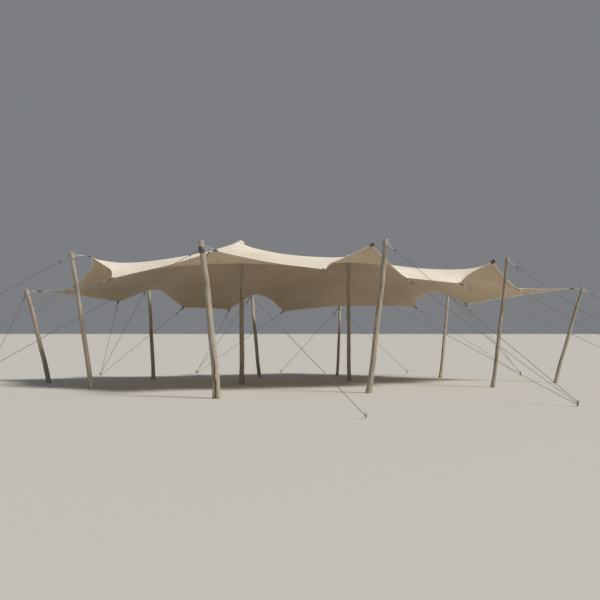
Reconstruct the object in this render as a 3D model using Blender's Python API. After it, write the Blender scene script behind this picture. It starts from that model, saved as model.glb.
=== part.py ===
import math

import bpy
import bmesh
import numpy as np
from mathutils import Vector
from mathutils.bvhtree import BVHTree

# A stretch tent: one sprung cloth held by twelve timber poles, their guys, edge ties and ground stakes.
# Metres. X runs to the right of the front view, Y away from it, and the ground is z = 0.

SEAT_GAP = 0.0003
HEM_GAP = 0.0004
SEAT_STEPS = 13
SEAT_REACH = 0.5
GROUND = 0.0

# Cloth.
CLOTH_THICKNESS = 0.005
CLOTH_COLOUR = (0.82, 0.76, 0.66)
CLOTH_SHARP_DEGREES = 60.0
DIAGONAL_SHARE = 0.5
RIDGE_WIDTH = 0.4
PEAK_REACH = 0.15
HEM_WEIGHT = 0.14

# Timber poles.
POLE_SIDES = 16
NECK_LENGTH = 0.36
FOOT_FLARE = 1.16
SHAFT_SHARES = (0.0, 0.05, 0.2, 0.4, 0.6, 0.8, 1.0)
SWAY_WAVE = 0.4
HEAD_CHAMFER = 0.012
HEAD_CHAMFER_SHARE = 0.82
DOME_DEGREES = (0.0, 22.5, 45.0, 67.5, 85.0)
POLE_COLOUR = (0.46, 0.41, 0.35)

# Ropes.
GUY_RADIUS = 0.007
TIE_RADIUS = 0.006
ROPE_SIDES = 6
TURN_STEPS = 16
TURN_PITCH = 0.032
HEAD_TURN_DEPTH = 0.085
HEAD_TURN_DEGREES = 300.0
SECOND_TURN_DEPTH = 0.15
SECOND_TURN_DEGREES = 310.0
SECOND_TURN_PITCH = 0.02
ROPE_COLOUR = (0.30, 0.29, 0.27)

# Ground stakes.
STAKE_RADIUS = 0.014
STAKE_HEIGHT = 0.155
STAKE_LEAN = 0.22
STAKE_FOOT = 0.02
STAKE_BAR_RADIUS = 0.010
STAKE_BAR_LENGTH = 0.13
STAKE_BAR_DEPTH = 0.016
STAKE_TIP_CHAMFER = 0.004
STAKE_TIP_SHARE = 0.8
STAKE_TURN_HEIGHT = 0.066
STAKE_TURN_STEP = 0.030
STAKE_TURN_DEGREES = 290.0
STAKE_TURN_PITCH = 0.004
STAKE_SIDES = 16
STAKE_COLOUR = (0.34, 0.35, 0.36)

# Each outer pole: foot, head, radius at the foot and at the head, and how far its middle bows.
OUTER_POLES = {
    "front_left": ((-1.95, -3.36), (-2.26, -3.91, 3.64), 0.092, 0.062, (0.030, 0.010)),
    "front_right": ((1.74, -1.75), (2.14, -2.35, 3.86), 0.074, 0.060, (0.025, -0.010)),
    "left_corner": ((-5.64, -0.48), (-6.10, -0.88, 3.68), 0.063, 0.052, (0.012, 0.020)),
    "right_corner": ((5.38, 0.27), (5.75, -0.08, 3.61), 0.056, 0.048, (0.020, 0.015)),
    "left_side": ((-7.60, 2.13), (-8.31, 2.13, 2.83), 0.072, 0.057, (0.012, 0.020)),
    "right_side": ((7.73, 2.13), (8.61, 2.13, 2.91), 0.053, 0.047, (-0.020, 0.012)),
    "back_left": ((-4.73, 3.74), (-5.01, 4.24, 3.15), 0.064, 0.050, (0.008, 0.014)),
    "back_mid_left": ((-1.37, 5.06), (-1.67, 5.56, 2.90), 0.061, 0.052, (-0.018, 0.012)),
    "back_mid_right": ((1.31, 6.13), (1.44, 6.58, 2.53), 0.050, 0.044, (0.010, -0.012)),
    "back_right": ((4.70, 4.72), (5.09, 5.22, 2.93), 0.057, 0.044, (0.016, 0.010)),
}

# Each king pole: foot, the cloth's peak above it, radii and bow.
KING_POLES = {
    "left_king": ((-1.72, 1.42), (-1.74, 1.42, 4.26), 0.072, 0.060, (0.016, 0.010)),
    "right_king": ((1.55, 3.08), (1.54, 3.08, 3.97), 0.060, 0.052, (-0.012, 0.012)),
}

# Cloth tips at the outer poles.
TIPS = {
    "front_left": (-1.99, -3.50, 3.46),
    "front_right": (1.82, -2.16, 3.74),
    "left_corner": (-5.72, -0.57, 3.60),
    "right_corner": (5.38, 0.06, 3.51),
    "left_side": (-7.91, 2.13, 2.78),
    "right_side": (8.27, 2.13, 2.86),
    "back_left": (-4.70, 3.89, 3.00),
    "back_mid_left": (-1.48, 5.24, 2.83),
    "back_mid_right": (1.41, 6.32, 2.44),
    "back_right": (4.91, 4.90, 2.84),
}

# Points of the hem that are tied down, and the stake that each tie runs to.
TIES = {
    "front_a": ((-4.90, -1.40, 2.93), "left_near"),
    "front_b": ((0.63, -2.21, 3.10), "front_right"),
    "front_c": ((2.76, -1.25, 2.97), "front_right"),
    "front_d": ((4.32, -0.56, 2.86), "right_near"),
    "left": ((-6.37, 0.57, 2.86), "left_near"),
    "right": ((6.24, 0.85, 2.79), "right_near"),
    "back_a": ((-5.77, 3.18, 2.49), "back_a"),
    "back_b": ((-3.85, 4.20, 2.33), "back_a"),
    "back_c": ((-2.38, 4.70, 2.28), "back_b"),
    "back_d": ((-0.59, 5.60, 2.23), "back_b"),
    "back_e": ((3.96, 5.40, 2.40), "back_e"),
    "back_f": ((5.42, 3.94, 2.42), "back_e"),
}

# The main guy of each outer pole, and the second guy of the two poles that carry a pair.
GUYS = {
    "front_left": "front_middle",
    "front_right": "front_right",
    "left_corner": "left_far",
    "right_corner": "right_near",
    "left_side": "left_back",
    "right_side": "right_far",
    "back_left": "back_a",
    "back_mid_left": "back_b",
    "back_mid_right": "back_c",
    "back_right": "back_e",
}
SECOND_GUYS = {"front_left": "front_left", "back_mid_right": "back_d"}

STAKES = {
    "front_middle": (1.19, -7.66),
    "front_left": (-8.40, -3.47),
    "front_right": (5.81, -5.34),
    "left_near": (-11.05, -2.87),
    "left_far": (-12.60, -0.67),
    "left_back": (-10.60, 4.94),
    "right_near": (9.99, -2.07),
    "right_far": (12.60, -1.57),
    "back_a": (-6.93, 5.72),
    "back_b": (-3.76, 6.98),
    "back_c": (-0.72, 7.66),
    "back_d": (3.90, 7.01),
    "back_e": (7.71, 5.94),
}

# The hem's four sides: from one held point to the next, the cells between them and the hem's pull.
HEM = {
    "front": (
        ("left_corner", "front_a", 3, 38.0),
        ("front_a", "front_left", 13, 190.0),
        ("front_left", "front_b", 10, 75.0),
        ("front_b", "front_right", 4, 70.0),
        ("front_right", "front_c", 4, 43.0),
        ("front_c", "front_d", 6, 520.0),
        ("front_d", "right_corner", 4, 11.0),
    ),
    "back": (
        ("left_side", "back_a", 6, 36.0),
        ("back_a", "back_left", 3, 14.0),
        ("back_left", "back_b", 2, 28.0),
        ("back_b", "back_c", 4, 70.0),
        ("back_c", "back_mid_left", 3, 24.0),
        ("back_mid_left", "back_d", 2, 2.0),
        ("back_d", "back_mid_right", 5, 160.0),
        ("back_mid_right", "back_e", 6, 320.0),
        ("back_e", "back_right", 3, 6.5),
        ("back_right", "back_f", 2, 16.0),
        ("back_f", "right_side", 8, 65.0),
    ),
    "left": (("left_corner", "left", 9, 500.0), ("left", "left_side", 11, 33.0)),
    "right": (("right_corner", "right", 8, 610.0), ("right", "right_side", 12, 28.0)),
}
COLUMNS = 1 + sum(span[2] for span in HEM["front"])
ROWS = 1 + sum(span[2] for span in HEM["left"])

# Lines along which the cloth is drawn tight, with the pull each adds at its start and at its end,
# and the pull round each peak.
RIDGES = (
    ("left_corner", "left_king", 150.0, 140.0),
    ("left_king", "right_king", 1.7, 1.9),
    ("right_corner", "right_king", 12.0, 230.0),
    ("left_king", "left_side", 2.5, 2.0),
    ("right_king", "right_side", 2.0, 1.9),
    ("left_king", "back_left", 1.8, 1.9),
    ("right_king", "back_right", 9.0, 14.0),
    ("left_king", "back_mid_left", 3.0, 5.0),
    ("right_king", "back_mid_right", 3.5, 4.0),
    ("left_king", "front_right", 0.8, 0.8),
    ("front_a", "front_b", 90.0, 400.0),
    ("front_b", "front_c", 6.0, 6.5),
)
PEAK_PULLS = {"left_king": 2.0, "right_king": 1.3}


def clear_scene():
    for thing in list(bpy.data.objects):
        bpy.data.objects.remove(thing, do_unlink=True)


def add_object(name, mesh, colour, roughness, metallic=0.0):
    material = bpy.data.materials.new(name + "_finish")
    material.use_nodes = True
    shader = material.node_tree.nodes["Principled BSDF"]
    shader.inputs["Base Color"].default_value = (*colour, 1.0)
    shader.inputs["Roughness"].default_value = roughness
    shader.inputs["Metallic"].default_value = metallic
    mesh.materials.append(material)
    thing = bpy.data.objects.new(name, mesh)
    bpy.context.collection.objects.link(thing)
    return thing


def mesh_from(name, corners, faces, sharp_degrees=40.0):
    mesh = bpy.data.meshes.new(name)
    mesh.from_pydata([tuple(corner) for corner in corners], [], faces)
    work = bmesh.new()
    work.from_mesh(mesh)
    bmesh.ops.recalc_face_normals(work, faces=work.faces)
    work.to_mesh(mesh)
    work.free()
    mesh.shade_smooth()
    mesh.set_sharp_from_angle(angle=math.radians(sharp_degrees))
    return mesh


def side_axes(direction):
    aside = Vector((0.0, 0.0, 1.0)).cross(direction)
    if aside.length < 0.05:
        aside = Vector((0.0, 1.0, 0.0)).cross(direction)
    aside.normalize()
    return aside, direction.cross(aside).normalized()


def path_directions(path):
    last = len(path) - 1
    return [(path[min(i + 1, last)] - path[max(i - 1, 0)]).normalized() for i in range(last + 1)]


def tube(name, path, radii, sides, flat_foot=False):
    directions = path_directions(path)
    aside, above = side_axes(directions[0])
    corners = []
    for place, direction, radius in zip(path, directions, radii):
        aside = (aside - direction * aside.dot(direction)).normalized()
        above = direction.cross(aside)
        for k in range(sides):
            angle = 2.0 * math.pi * k / sides
            corners.append(place + (aside * math.cos(angle) + above * math.sin(angle)) * radius)
    if flat_foot:
        for k in range(sides):
            corners[k].z = GROUND
    faces = []
    for ring in range(len(path) - 1):
        for k in range(sides):
            after = (k + 1) % sides
            low, high = ring * sides, (ring + 1) * sides
            faces.append((low + k, low + after, high + after, high + k))
    faces.append(tuple(reversed(range(sides))))
    faces.append(tuple(range((len(path) - 1) * sides, len(path) * sides)))
    return mesh_from(name, corners, faces)


def held_point(name):
    if name in KING_POLES:
        return np.array(KING_POLES[name][1])
    return np.array(TIPS[name] if name in TIPS else TIES[name][0])


def hem_place(side, step):
    places = {"front": (step, 0), "back": (step, ROWS - 1), "left": (0, step), "right": (COLUMNS - 1, step)}
    return places[side]


def read_hem():
    """The straight line between the held points, the held points alone, and the pull of each hem link."""
    straight, held, pulls = {}, {}, {}
    for side, spans in HEM.items():
        step = 0
        for start, end, cells, pull in spans:
            a, b = held_point(start), held_point(end)
            for k in range(cells):
                straight[hem_place(side, step + k)] = a + (b - a) * k / cells
                pulls[hem_place(side, step + k), hem_place(side, step + k + 1)] = pull
            held[hem_place(side, step)] = a
            held[hem_place(side, step + cells)] = b
            step += cells
    return {**straight, **held}, held, pulls


def cloth_links():
    """Every link of the net as its two knots and its share of the plain pull."""
    links = []
    for column in range(COLUMNS):
        for row in range(ROWS):
            for start, end, share in (
                ((column, row), (column + 1, row), 1.0),
                ((column, row), (column, row + 1), 1.0),
                ((column, row), (column + 1, row + 1), DIAGONAL_SHARE),
                ((column + 1, row), (column, row + 1), DIAGONAL_SHARE),
            ):
                if max(start[0], end[0]) < COLUMNS and max(start[1], end[1]) < ROWS:
                    links.append((start, end, share))
    return links


def link_pull(middle, heading, share):
    """Pull of a link inside the cloth from the ridges and peaks near it."""
    pull = 1.0
    for start, end, start_pull, end_pull in RIDGES:
        a, b = held_point(start)[:2], held_point(end)[:2]
        length = np.linalg.norm(b - a)
        along = (b - a) / length
        place = min(max((middle - a) @ along, 0.0), length)
        away = np.linalg.norm(middle - a - along * place)
        extra = start_pull + (end_pull - start_pull) * place / length
        pull += extra * (heading @ along) ** 4 * math.exp(-((away / RIDGE_WIDTH) ** 2))
    for name, extra in PEAK_PULLS.items():
        pull += extra / (np.linalg.norm(middle - held_point(name)[:2]) + PEAK_REACH)
    return pull * share


def balance(links, pulls, fixed, weighed):
    """Where the knots rest when the pulls of all their links balance."""
    count = COLUMNS * ROWS
    firm = np.zeros((count, count))
    for (start, end, _), pull in zip(links, pulls):
        a, b = start[0] * ROWS + start[1], end[0] * ROWS + end[1]
        firm[a, a] += pull
        firm[b, b] += pull
        firm[a, b] -= pull
        firm[b, a] -= pull
    load = np.zeros((count, 3))
    for column, row in weighed:
        load[column * ROWS + row, 2] = -HEM_WEIGHT
    for (column, row), point in fixed.items():
        place = column * ROWS + row
        firm[place, :] = 0.0
        firm[place, place] = 1.0
        load[place] = point
    return np.linalg.solve(firm, load).reshape(COLUMNS, ROWS, 3)


def cloth_grid():
    """The sprung net over its tips, ties and king poles, as a grid of knots."""
    straight, held, hem_pulls = read_hem()
    links = cloth_links()
    flat = balance(links, [share for _, _, share in links], straight, ())
    pulls = []
    for start, end, share in links:
        reach = flat[end][:2] - flat[start][:2]
        inside = link_pull((flat[start] + flat[end])[:2] / 2, reach / np.linalg.norm(reach), share)
        pulls.append(hem_pulls.get((start, end), inside))
    peaks = {}
    for name in KING_POLES:
        away = np.linalg.norm(flat[:, :, :2] - held_point(name)[:2], axis=2)
        peaks[tuple(int(v) for v in np.unravel_index(np.argmin(away), away.shape))] = held_point(name)
    return balance(links, pulls, {**held, **peaks}, straight)


def grid_normals(grid):
    across = np.gradient(grid, axis=0)
    along = np.gradient(grid, axis=1)
    normals = np.cross(across, along)
    return normals / np.linalg.norm(normals, axis=2, keepdims=True)


def rim_order(columns, rows):
    order = [(column, 0) for column in range(columns - 1)]
    order += [(columns - 1, row) for row in range(rows - 1)]
    order += [(column, rows - 1) for column in range(columns - 1, 0, -1)]
    order += [(0, row) for row in range(rows - 1, 0, -1)]
    return order


def nearest_knot(grid, point):
    away = np.linalg.norm(grid - np.array(point), axis=2)
    return tuple(int(v) for v in np.unravel_index(np.argmin(away), away.shape))


def cell_triangles(grid, column, row, peaks):
    """A cell's two triangles, cut through a peak where it has one and else along the shorter diagonal."""
    a, b, c, d = (column, row), (column + 1, row), (column + 1, row + 1), (column, row + 1)
    shorter = np.linalg.norm(grid[a] - grid[c]) <= np.linalg.norm(grid[b] - grid[d])
    if a in peaks or c in peaks or (shorter and b not in peaks and d not in peaks):
        return (a, b, c), (a, c, d)
    return (a, b, d), (b, c, d)


def add_cloth(grid):
    columns, rows, _ = grid.shape
    normals = grid_normals(grid)
    upper = (grid + normals * CLOTH_THICKNESS / 2).reshape(-1, 3)
    lower = (grid - normals * CLOTH_THICKNESS / 2).reshape(-1, 3)
    below = columns * rows
    peaks = [nearest_knot(grid, values[1]) for values in KING_POLES.values()]
    faces = []
    for column in range(columns - 1):
        for row in range(rows - 1):
            for corners in cell_triangles(grid, column, row, peaks):
                a, b, c = (i * rows + j for i, j in corners)
                faces.append((a, b, c))
                faces.append((below + c, below + b, below + a))
    rim = [column * rows + row for column, row in rim_order(columns, rows)]
    for here, after in zip(rim, rim[1:] + rim[:1]):
        faces.append((after, here, below + here, below + after))
    mesh = mesh_from("canopy", np.vstack((upper, lower)), faces, CLOTH_SHARP_DEGREES)
    add_object("canopy", mesh, CLOTH_COLOUR, 0.75)
    corners = [corner.co for corner in mesh.vertices]
    return BVHTree.FromPolygons(corners, [face.vertices for face in mesh.polygons])


def pole_path(foot, head, foot_radius, head_radius, bow):
    base = Vector((*foot, GROUND))
    lean = (head - base).normalized()
    neck = head - lean * NECK_LENGTH
    path, radii = [], []
    for share in SHAFT_SHARES:
        sway = math.sin(math.pi * share) + SWAY_WAVE * math.sin(3.0 * math.pi * share)
        path.append(base.lerp(neck, share) + Vector((*bow, 0.0)) * sway)
        radii.append(foot_radius + (head_radius - foot_radius) * share)
    radii[0] *= FOOT_FLARE
    return path, radii, lean


def add_outer_pole(name, foot, head, foot_radius, head_radius, bow):
    head = Vector(head)
    path, radii, lean = pole_path(foot, head, foot_radius, head_radius, bow)
    path += [head - lean * HEAD_CHAMFER, head]
    radii += [head_radius, head_radius * HEAD_CHAMFER_SHARE]
    add_object("pole_" + name, tube(name, path, radii, POLE_SIDES, True), POLE_COLOUR, 0.7)


def king_pole_mesh(name, foot, centre, foot_radius, head_radius, bow):
    """A pole with a round head about `centre`."""
    path, radii, lean = pole_path(foot, centre, foot_radius, head_radius, bow)
    for degrees in DOME_DEGREES:
        turn = math.radians(degrees)
        path.append(centre + lean * head_radius * math.sin(turn))
        radii.append(head_radius * math.cos(turn))
    return tube(name, path, radii, POLE_SIDES, True)


def stays_clear(skin, mesh):
    """Whether the mesh keeps the seat gap under the cloth and crosses it nowhere."""
    raised = [corner.co + Vector((0.0, 0.0, SEAT_GAP)) for corner in mesh.vertices]
    if skin.overlap(BVHTree.FromPolygons(raised, [face.vertices for face in mesh.polygons])):
        return False
    spots = [corner.co for corner in mesh.vertices] + [face.center for face in mesh.polygons]
    for edge in mesh.edges:
        a, b = edge.vertices
        spots.append((mesh.vertices[a].co + mesh.vertices[b].co) / 2)
    for spot in spots:
        place, facing, _, away = skin.find_nearest(spot)
        if away < SEAT_GAP or (spot - place).dot(facing) < 0.0:
            return False
    return True


def add_king_pole(name, foot, peak, foot_radius, head_radius, bow, skin):
    low, high = 0.0, SEAT_REACH
    for _ in range(SEAT_STEPS):
        drop = (low + high) / 2
        centre = Vector(peak) - Vector((0.0, 0.0, drop))
        mesh = king_pole_mesh("pole_" + name, foot, centre, foot_radius, head_radius, bow)
        if stays_clear(skin, mesh):
            high, seated = drop, mesh
        else:
            low = drop
    add_object("pole_" + name, seated, POLE_COLOUR, 0.7)


def turn_points(centre, axis, radius, start, end, pitch, toward):
    """Points of a turn round an axis: angles are counted from the level direction `toward`."""
    ahead = (toward - axis * toward.dot(axis)).normalized()
    left = axis.cross(ahead)
    steps = max(2, int(round(abs(end - start) / (2.0 * math.pi) * TURN_STEPS)))
    reach = radius / math.cos(abs(end - start) / steps / 2.0)
    points = []
    for k in range(steps + 1):
        angle = start + (end - start) * k / steps
        ring = ahead * math.cos(angle) + left * math.sin(angle)
        points.append(centre + ring * reach - axis * pitch * k / steps)
    return points


def add_rope(name, path, radius):
    mesh = tube(name, path, [radius] * len(path), ROPE_SIDES)
    add_object(name, mesh, ROPE_COLOUR, 0.8)


def stake_axis(name):
    x, y = STAKES[name]
    outward = Vector((x, y, 0.0)).normalized()
    return Vector((x, y, GROUND)), (Vector((0.0, 0.0, 1.0)) + outward * STAKE_LEAN).normalized()


def turn_centre(stake, level):
    base, axis = stake_axis(stake)
    return base + axis * (STAKE_TURN_HEIGHT + STAKE_TURN_STEP * level)


def stake_turn(stake, level, source, rope_radius):
    """The rope's last turn round its stake, from where it arrives to its cut end."""
    _, axis = stake_axis(stake)
    centre = turn_centre(stake, level)
    radius = STAKE_RADIUS + rope_radius + SEAT_GAP
    toward = source - centre
    span = math.acos(radius / toward.length)
    end = span + math.radians(STAKE_TURN_DEGREES)
    return turn_points(centre, axis, radius, span, end, STAKE_TURN_PITCH, toward)


def head_axis(name):
    foot, head = Vector((*OUTER_POLES[name][0], GROUND)), Vector(OUTER_POLES[name][1])
    return head, (head - foot).normalized()


def hem_outward(point, target, grid, radius):
    """Start of a rope that leaves the hem at a held point toward a target, clear of the cloth's rim."""
    column, row = nearest_knot(grid, point)
    normal = Vector(grid_normals(grid)[column, row])
    start = Vector(point)
    direction = (target - start).normalized()
    clear = HEM_GAP + CLOTH_THICKNESS / 2 * abs(normal.dot(direction))
    lift = 0.0
    for across, along in ((1, 0), (-1, 0), (0, 1), (0, -1)):
        if 0 <= column + across < grid.shape[0] and 0 <= row + along < grid.shape[1]:
            beside = Vector(grid[column + across, row + along]) - start
            lift = max(lift, beside.normalized().dot(direction))
    return start + direction * (clear + lift * (radius + CLOTH_THICKNESS / 2))


def add_guy(name, stake, level, grid):
    head, axis = head_axis(name)
    centre = head - axis * HEAD_TURN_DEPTH
    radius = OUTER_POLES[name][3] + GUY_RADIUS + SEAT_GAP
    toward = Vector(TIPS[name]) - centre
    away = turn_centre(stake, level) - centre
    arrive = math.acos(radius / toward.length)
    ahead = (toward - axis * toward.dot(axis)).normalized()
    bearing = math.atan2(away.dot(axis.cross(ahead)), away.dot(ahead)) % (2.0 * math.pi)
    leave = bearing - math.acos(radius / away.length) + 2.0 * math.pi
    while leave - arrive < math.radians(HEAD_TURN_DEGREES):
        leave += 2.0 * math.pi
    turn = turn_points(centre, axis, radius, arrive, leave, TURN_PITCH, toward)
    start = hem_outward(TIPS[name], turn[0], grid, GUY_RADIUS)
    path = [start] + turn + stake_turn(stake, level, turn[-1], GUY_RADIUS)
    add_rope("guy_" + name, path, GUY_RADIUS)


def add_second_guy(name, stake, level):
    head, axis = head_axis(name)
    centre = head - axis * SECOND_TURN_DEPTH
    radius = OUTER_POLES[name][3] + GUY_RADIUS + SEAT_GAP
    toward = turn_centre(stake, level) - centre
    leave = -math.acos(radius / toward.length)
    start = leave - math.radians(SECOND_TURN_DEGREES)
    turn = turn_points(centre, axis, radius, start, leave, SECOND_TURN_PITCH, toward)
    path = turn + stake_turn(stake, level, turn[-1], GUY_RADIUS)
    add_rope("second_guy_" + name, path, GUY_RADIUS)


def add_tie(name, point, stake, level, grid):
    turn = stake_turn(stake, level, Vector(point), TIE_RADIUS)
    path = [hem_outward(point, turn[0], grid, TIE_RADIUS)] + turn
    add_rope("tie_" + name, path, TIE_RADIUS)


def add_stake(name):
    base, axis = stake_axis(name)
    top = base + axis * STAKE_HEIGHT
    rod_path = [base, base + axis * STAKE_FOOT, top - axis * STAKE_TIP_CHAMFER, top]
    radii = [STAKE_RADIUS] * 3 + [STAKE_RADIUS * STAKE_TIP_SHARE]
    rod_mesh = tube(name, rod_path, radii, STAKE_SIDES, True)
    rod = add_object("stake_" + name, rod_mesh, STAKE_COLOUR, 0.45, 0.85)
    across, _ = side_axes(axis)
    middle = top - axis * STAKE_BAR_DEPTH
    ends = [middle - across * STAKE_BAR_LENGTH / 2, middle + across * STAKE_BAR_LENGTH / 2]
    bar_mesh = tube(name + "_bar", ends, [STAKE_BAR_RADIUS] * 2, STAKE_SIDES)
    bar = bpy.data.objects.new("cutter_" + name, bar_mesh)
    bpy.context.collection.objects.link(bar)
    bar.hide_render = True
    bar.display_type = "WIRE"
    weld = rod.modifiers.new("cross_bar", "BOOLEAN")
    weld.operation = "UNION"
    weld.solver = "EXACT"
    weld.object = bar


def rope_levels():
    """Which turn of its stake each rope takes: the steepest rope is the highest turn."""
    sources = {}
    for name, stake in GUYS.items():
        sources.setdefault(stake, []).append((OUTER_POLES[name][1], "guy_" + name))
    for name, stake in SECOND_GUYS.items():
        sources.setdefault(stake, []).append((OUTER_POLES[name][1], "second_guy_" + name))
    for name, (point, stake) in TIES.items():
        sources.setdefault(stake, []).append((point, "tie_" + name))
    levels = {}
    for stake, found in sources.items():
        x, y = STAKES[stake]
        slopes = [(point[2] / math.hypot(point[0] - x, point[1] - y), rope) for point, rope in found]
        for level, (_, rope) in enumerate(sorted(slopes)):
            levels[rope] = level - (len(slopes) - 1) / 2
    return levels


def build():
    clear_scene()
    grid = cloth_grid()
    skin = add_cloth(grid)
    for name, values in OUTER_POLES.items():
        add_outer_pole(name, *values)
    for name, values in KING_POLES.items():
        add_king_pole(name, *values, skin)
    levels = rope_levels()
    for name, stake in GUYS.items():
        add_guy(name, stake, levels["guy_" + name], grid)
    for name, stake in SECOND_GUYS.items():
        add_second_guy(name, stake, levels["second_guy_" + name])
    for name, (point, stake) in TIES.items():
        add_tie(name, point, stake, levels["tie_" + name], grid)
    for name in STAKES:
        add_stake(name)


build()
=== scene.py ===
import math

import bmesh
import bpy
import numpy as np
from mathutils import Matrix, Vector
from mathutils.bvhtree import BVHTree


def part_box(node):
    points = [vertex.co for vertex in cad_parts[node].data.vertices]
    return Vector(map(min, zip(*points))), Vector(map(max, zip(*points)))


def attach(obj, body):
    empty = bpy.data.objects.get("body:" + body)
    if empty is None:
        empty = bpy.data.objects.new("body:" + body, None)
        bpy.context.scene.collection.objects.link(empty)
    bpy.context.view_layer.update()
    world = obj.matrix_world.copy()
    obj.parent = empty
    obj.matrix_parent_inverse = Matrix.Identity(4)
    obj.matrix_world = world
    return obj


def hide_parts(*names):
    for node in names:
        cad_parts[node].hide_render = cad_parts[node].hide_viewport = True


# Looks of a stretch tent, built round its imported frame.
# Metres. X runs to the right of the front view, Y away from it, and the ground is z = 0.

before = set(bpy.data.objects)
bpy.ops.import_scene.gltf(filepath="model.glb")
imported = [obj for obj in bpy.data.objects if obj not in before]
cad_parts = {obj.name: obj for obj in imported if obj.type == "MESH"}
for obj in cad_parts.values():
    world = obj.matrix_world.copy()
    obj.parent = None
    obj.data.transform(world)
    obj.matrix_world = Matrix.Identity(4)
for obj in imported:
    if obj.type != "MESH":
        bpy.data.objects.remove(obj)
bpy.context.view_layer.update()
print("frame: loaded")

# Where things are: the same values as in the part's source.

outerPoles = {  # foot, head, radius at the foot and at the head, bow of the middle
    "front_left": ((-1.95, -3.36), (-2.26, -3.91, 3.64), 0.092, 0.062, (0.030, 0.010)),
    "front_right": ((1.74, -1.75), (2.14, -2.35, 3.86), 0.074, 0.060, (0.025, -0.010)),
    "left_corner": ((-5.64, -0.48), (-6.10, -0.88, 3.68), 0.063, 0.052, (0.012, 0.020)),
    "right_corner": ((5.38, 0.27), (5.75, -0.08, 3.61), 0.056, 0.048, (0.020, 0.015)),
    "left_side": ((-7.60, 2.13), (-8.31, 2.13, 2.83), 0.072, 0.057, (0.012, 0.020)),
    "right_side": ((7.73, 2.13), (8.61, 2.13, 2.91), 0.053, 0.047, (-0.020, 0.012)),
    "back_left": ((-4.73, 3.74), (-5.01, 4.24, 3.15), 0.064, 0.050, (0.008, 0.014)),
    "back_mid_left": ((-1.37, 5.06), (-1.67, 5.56, 2.90), 0.061, 0.052, (-0.018, 0.012)),
    "back_mid_right": ((1.31, 6.13), (1.44, 6.58, 2.53), 0.050, 0.044, (0.010, -0.012)),
    "back_right": ((4.70, 4.72), (5.09, 5.22, 2.93), 0.057, 0.044, (0.016, 0.010)),
}
kingPoles = {  # foot, the cloth's peak above it, radii, bow
    "left_king": ((-1.72, 1.42), (-1.74, 1.42, 4.26), 0.072, 0.060, (0.016, 0.010)),
    "right_king": ((1.55, 3.08), (1.54, 3.08, 3.97), 0.060, 0.052, (-0.012, 0.012)),
}
tips = {
    "front_left": (-1.99, -3.50, 3.46),
    "front_right": (1.82, -2.16, 3.74),
    "left_corner": (-5.72, -0.57, 3.60),
    "right_corner": (5.38, 0.06, 3.51),
    "left_side": (-7.91, 2.13, 2.78),
    "right_side": (8.27, 2.13, 2.86),
    "back_left": (-4.70, 3.89, 3.00),
    "back_mid_left": (-1.48, 5.24, 2.83),
    "back_mid_right": (1.41, 6.32, 2.44),
    "back_right": (4.91, 4.90, 2.84),
}
ties = {  # point of the hem, stake
    "front_a": ((-4.90, -1.40, 2.93), "left_near"),
    "front_b": ((0.63, -2.21, 3.10), "front_right"),
    "front_c": ((2.76, -1.25, 2.97), "front_right"),
    "front_d": ((4.32, -0.56, 2.86), "right_near"),
    "left": ((-6.37, 0.57, 2.86), "left_near"),
    "right": ((6.24, 0.85, 2.79), "right_near"),
    "back_a": ((-5.77, 3.18, 2.49), "back_a"),
    "back_b": ((-3.85, 4.20, 2.33), "back_a"),
    "back_c": ((-2.38, 4.70, 2.28), "back_b"),
    "back_d": ((-0.59, 5.60, 2.23), "back_b"),
    "back_e": ((3.96, 5.40, 2.40), "back_e"),
    "back_f": ((5.42, 3.94, 2.42), "back_e"),
}
guys = {
    "front_left": "front_middle",
    "front_right": "front_right",
    "left_corner": "left_far",
    "right_corner": "right_near",
    "left_side": "left_back",
    "right_side": "right_far",
    "back_left": "back_a",
    "back_mid_left": "back_b",
    "back_mid_right": "back_c",
    "back_right": "back_e",
}
secondGuys = {"front_left": "front_left", "back_mid_right": "back_d"}
stakes = {
    "front_middle": (1.19, -7.66),
    "front_left": (-8.40, -3.47),
    "front_right": (5.81, -5.34),
    "left_near": (-11.05, -2.87),
    "left_far": (-12.60, -0.67),
    "left_back": (-10.60, 4.94),
    "right_near": (9.99, -2.07),
    "right_far": (12.60, -1.57),
    "back_a": (-6.93, 5.72),
    "back_b": (-3.76, 6.98),
    "back_c": (-0.72, 7.66),
    "back_d": (3.90, 7.01),
    "back_e": (7.71, 5.94),
}

# Small helpers.


def addNode(tree, kind, feeds=None, **settings):  # feeds: socket -> a value, or the output that feeds it
    node = tree.nodes.new(kind)
    for key, value in settings.items():
        setattr(node, key, value)
    for key, value in (feeds or {}).items():
        if isinstance(value, bpy.types.NodeSocket):
            tree.links.new(value, node.inputs[key])
        else:
            node.inputs[key].default_value = value
    return node


def maths(tree, operation, *values):
    return addNode(tree, "ShaderNodeMath", dict(enumerate(values)), operation=operation).outputs[0]


def vectorMaths(tree, operation, *values):
    return addNode(tree, "ShaderNodeVectorMath", dict(enumerate(values)), operation=operation).outputs[0]


def scaled(tree, vector, factor):
    return addNode(tree, "ShaderNodeVectorMath", {0: vector, "Scale": factor}, operation="SCALE").outputs[0]


def squeezed(tree, vector, share):  # shorter along the pole, so that a pattern runs long
    return vectorMaths(tree, "MULTIPLY", vector, (1.0, 1.0, share))


def combine(tree, x=0.0, y=0.0, z=0.0):
    return addNode(tree, "ShaderNodeCombineXYZ", {0: x, 1: y, 2: z}).outputs[0]


def separate(tree, vector):
    return addNode(tree, "ShaderNodeSeparateXYZ", {0: vector}).outputs


def remap(tree, value, low, high, newLow=0.0, newHigh=1.0, kind="LINEAR"):
    feeds = {0: value, 1: low, 2: high, 3: newLow, 4: newHigh}
    return addNode(tree, "ShaderNodeMapRange", feeds, interpolation_type=kind).outputs[0]


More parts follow.
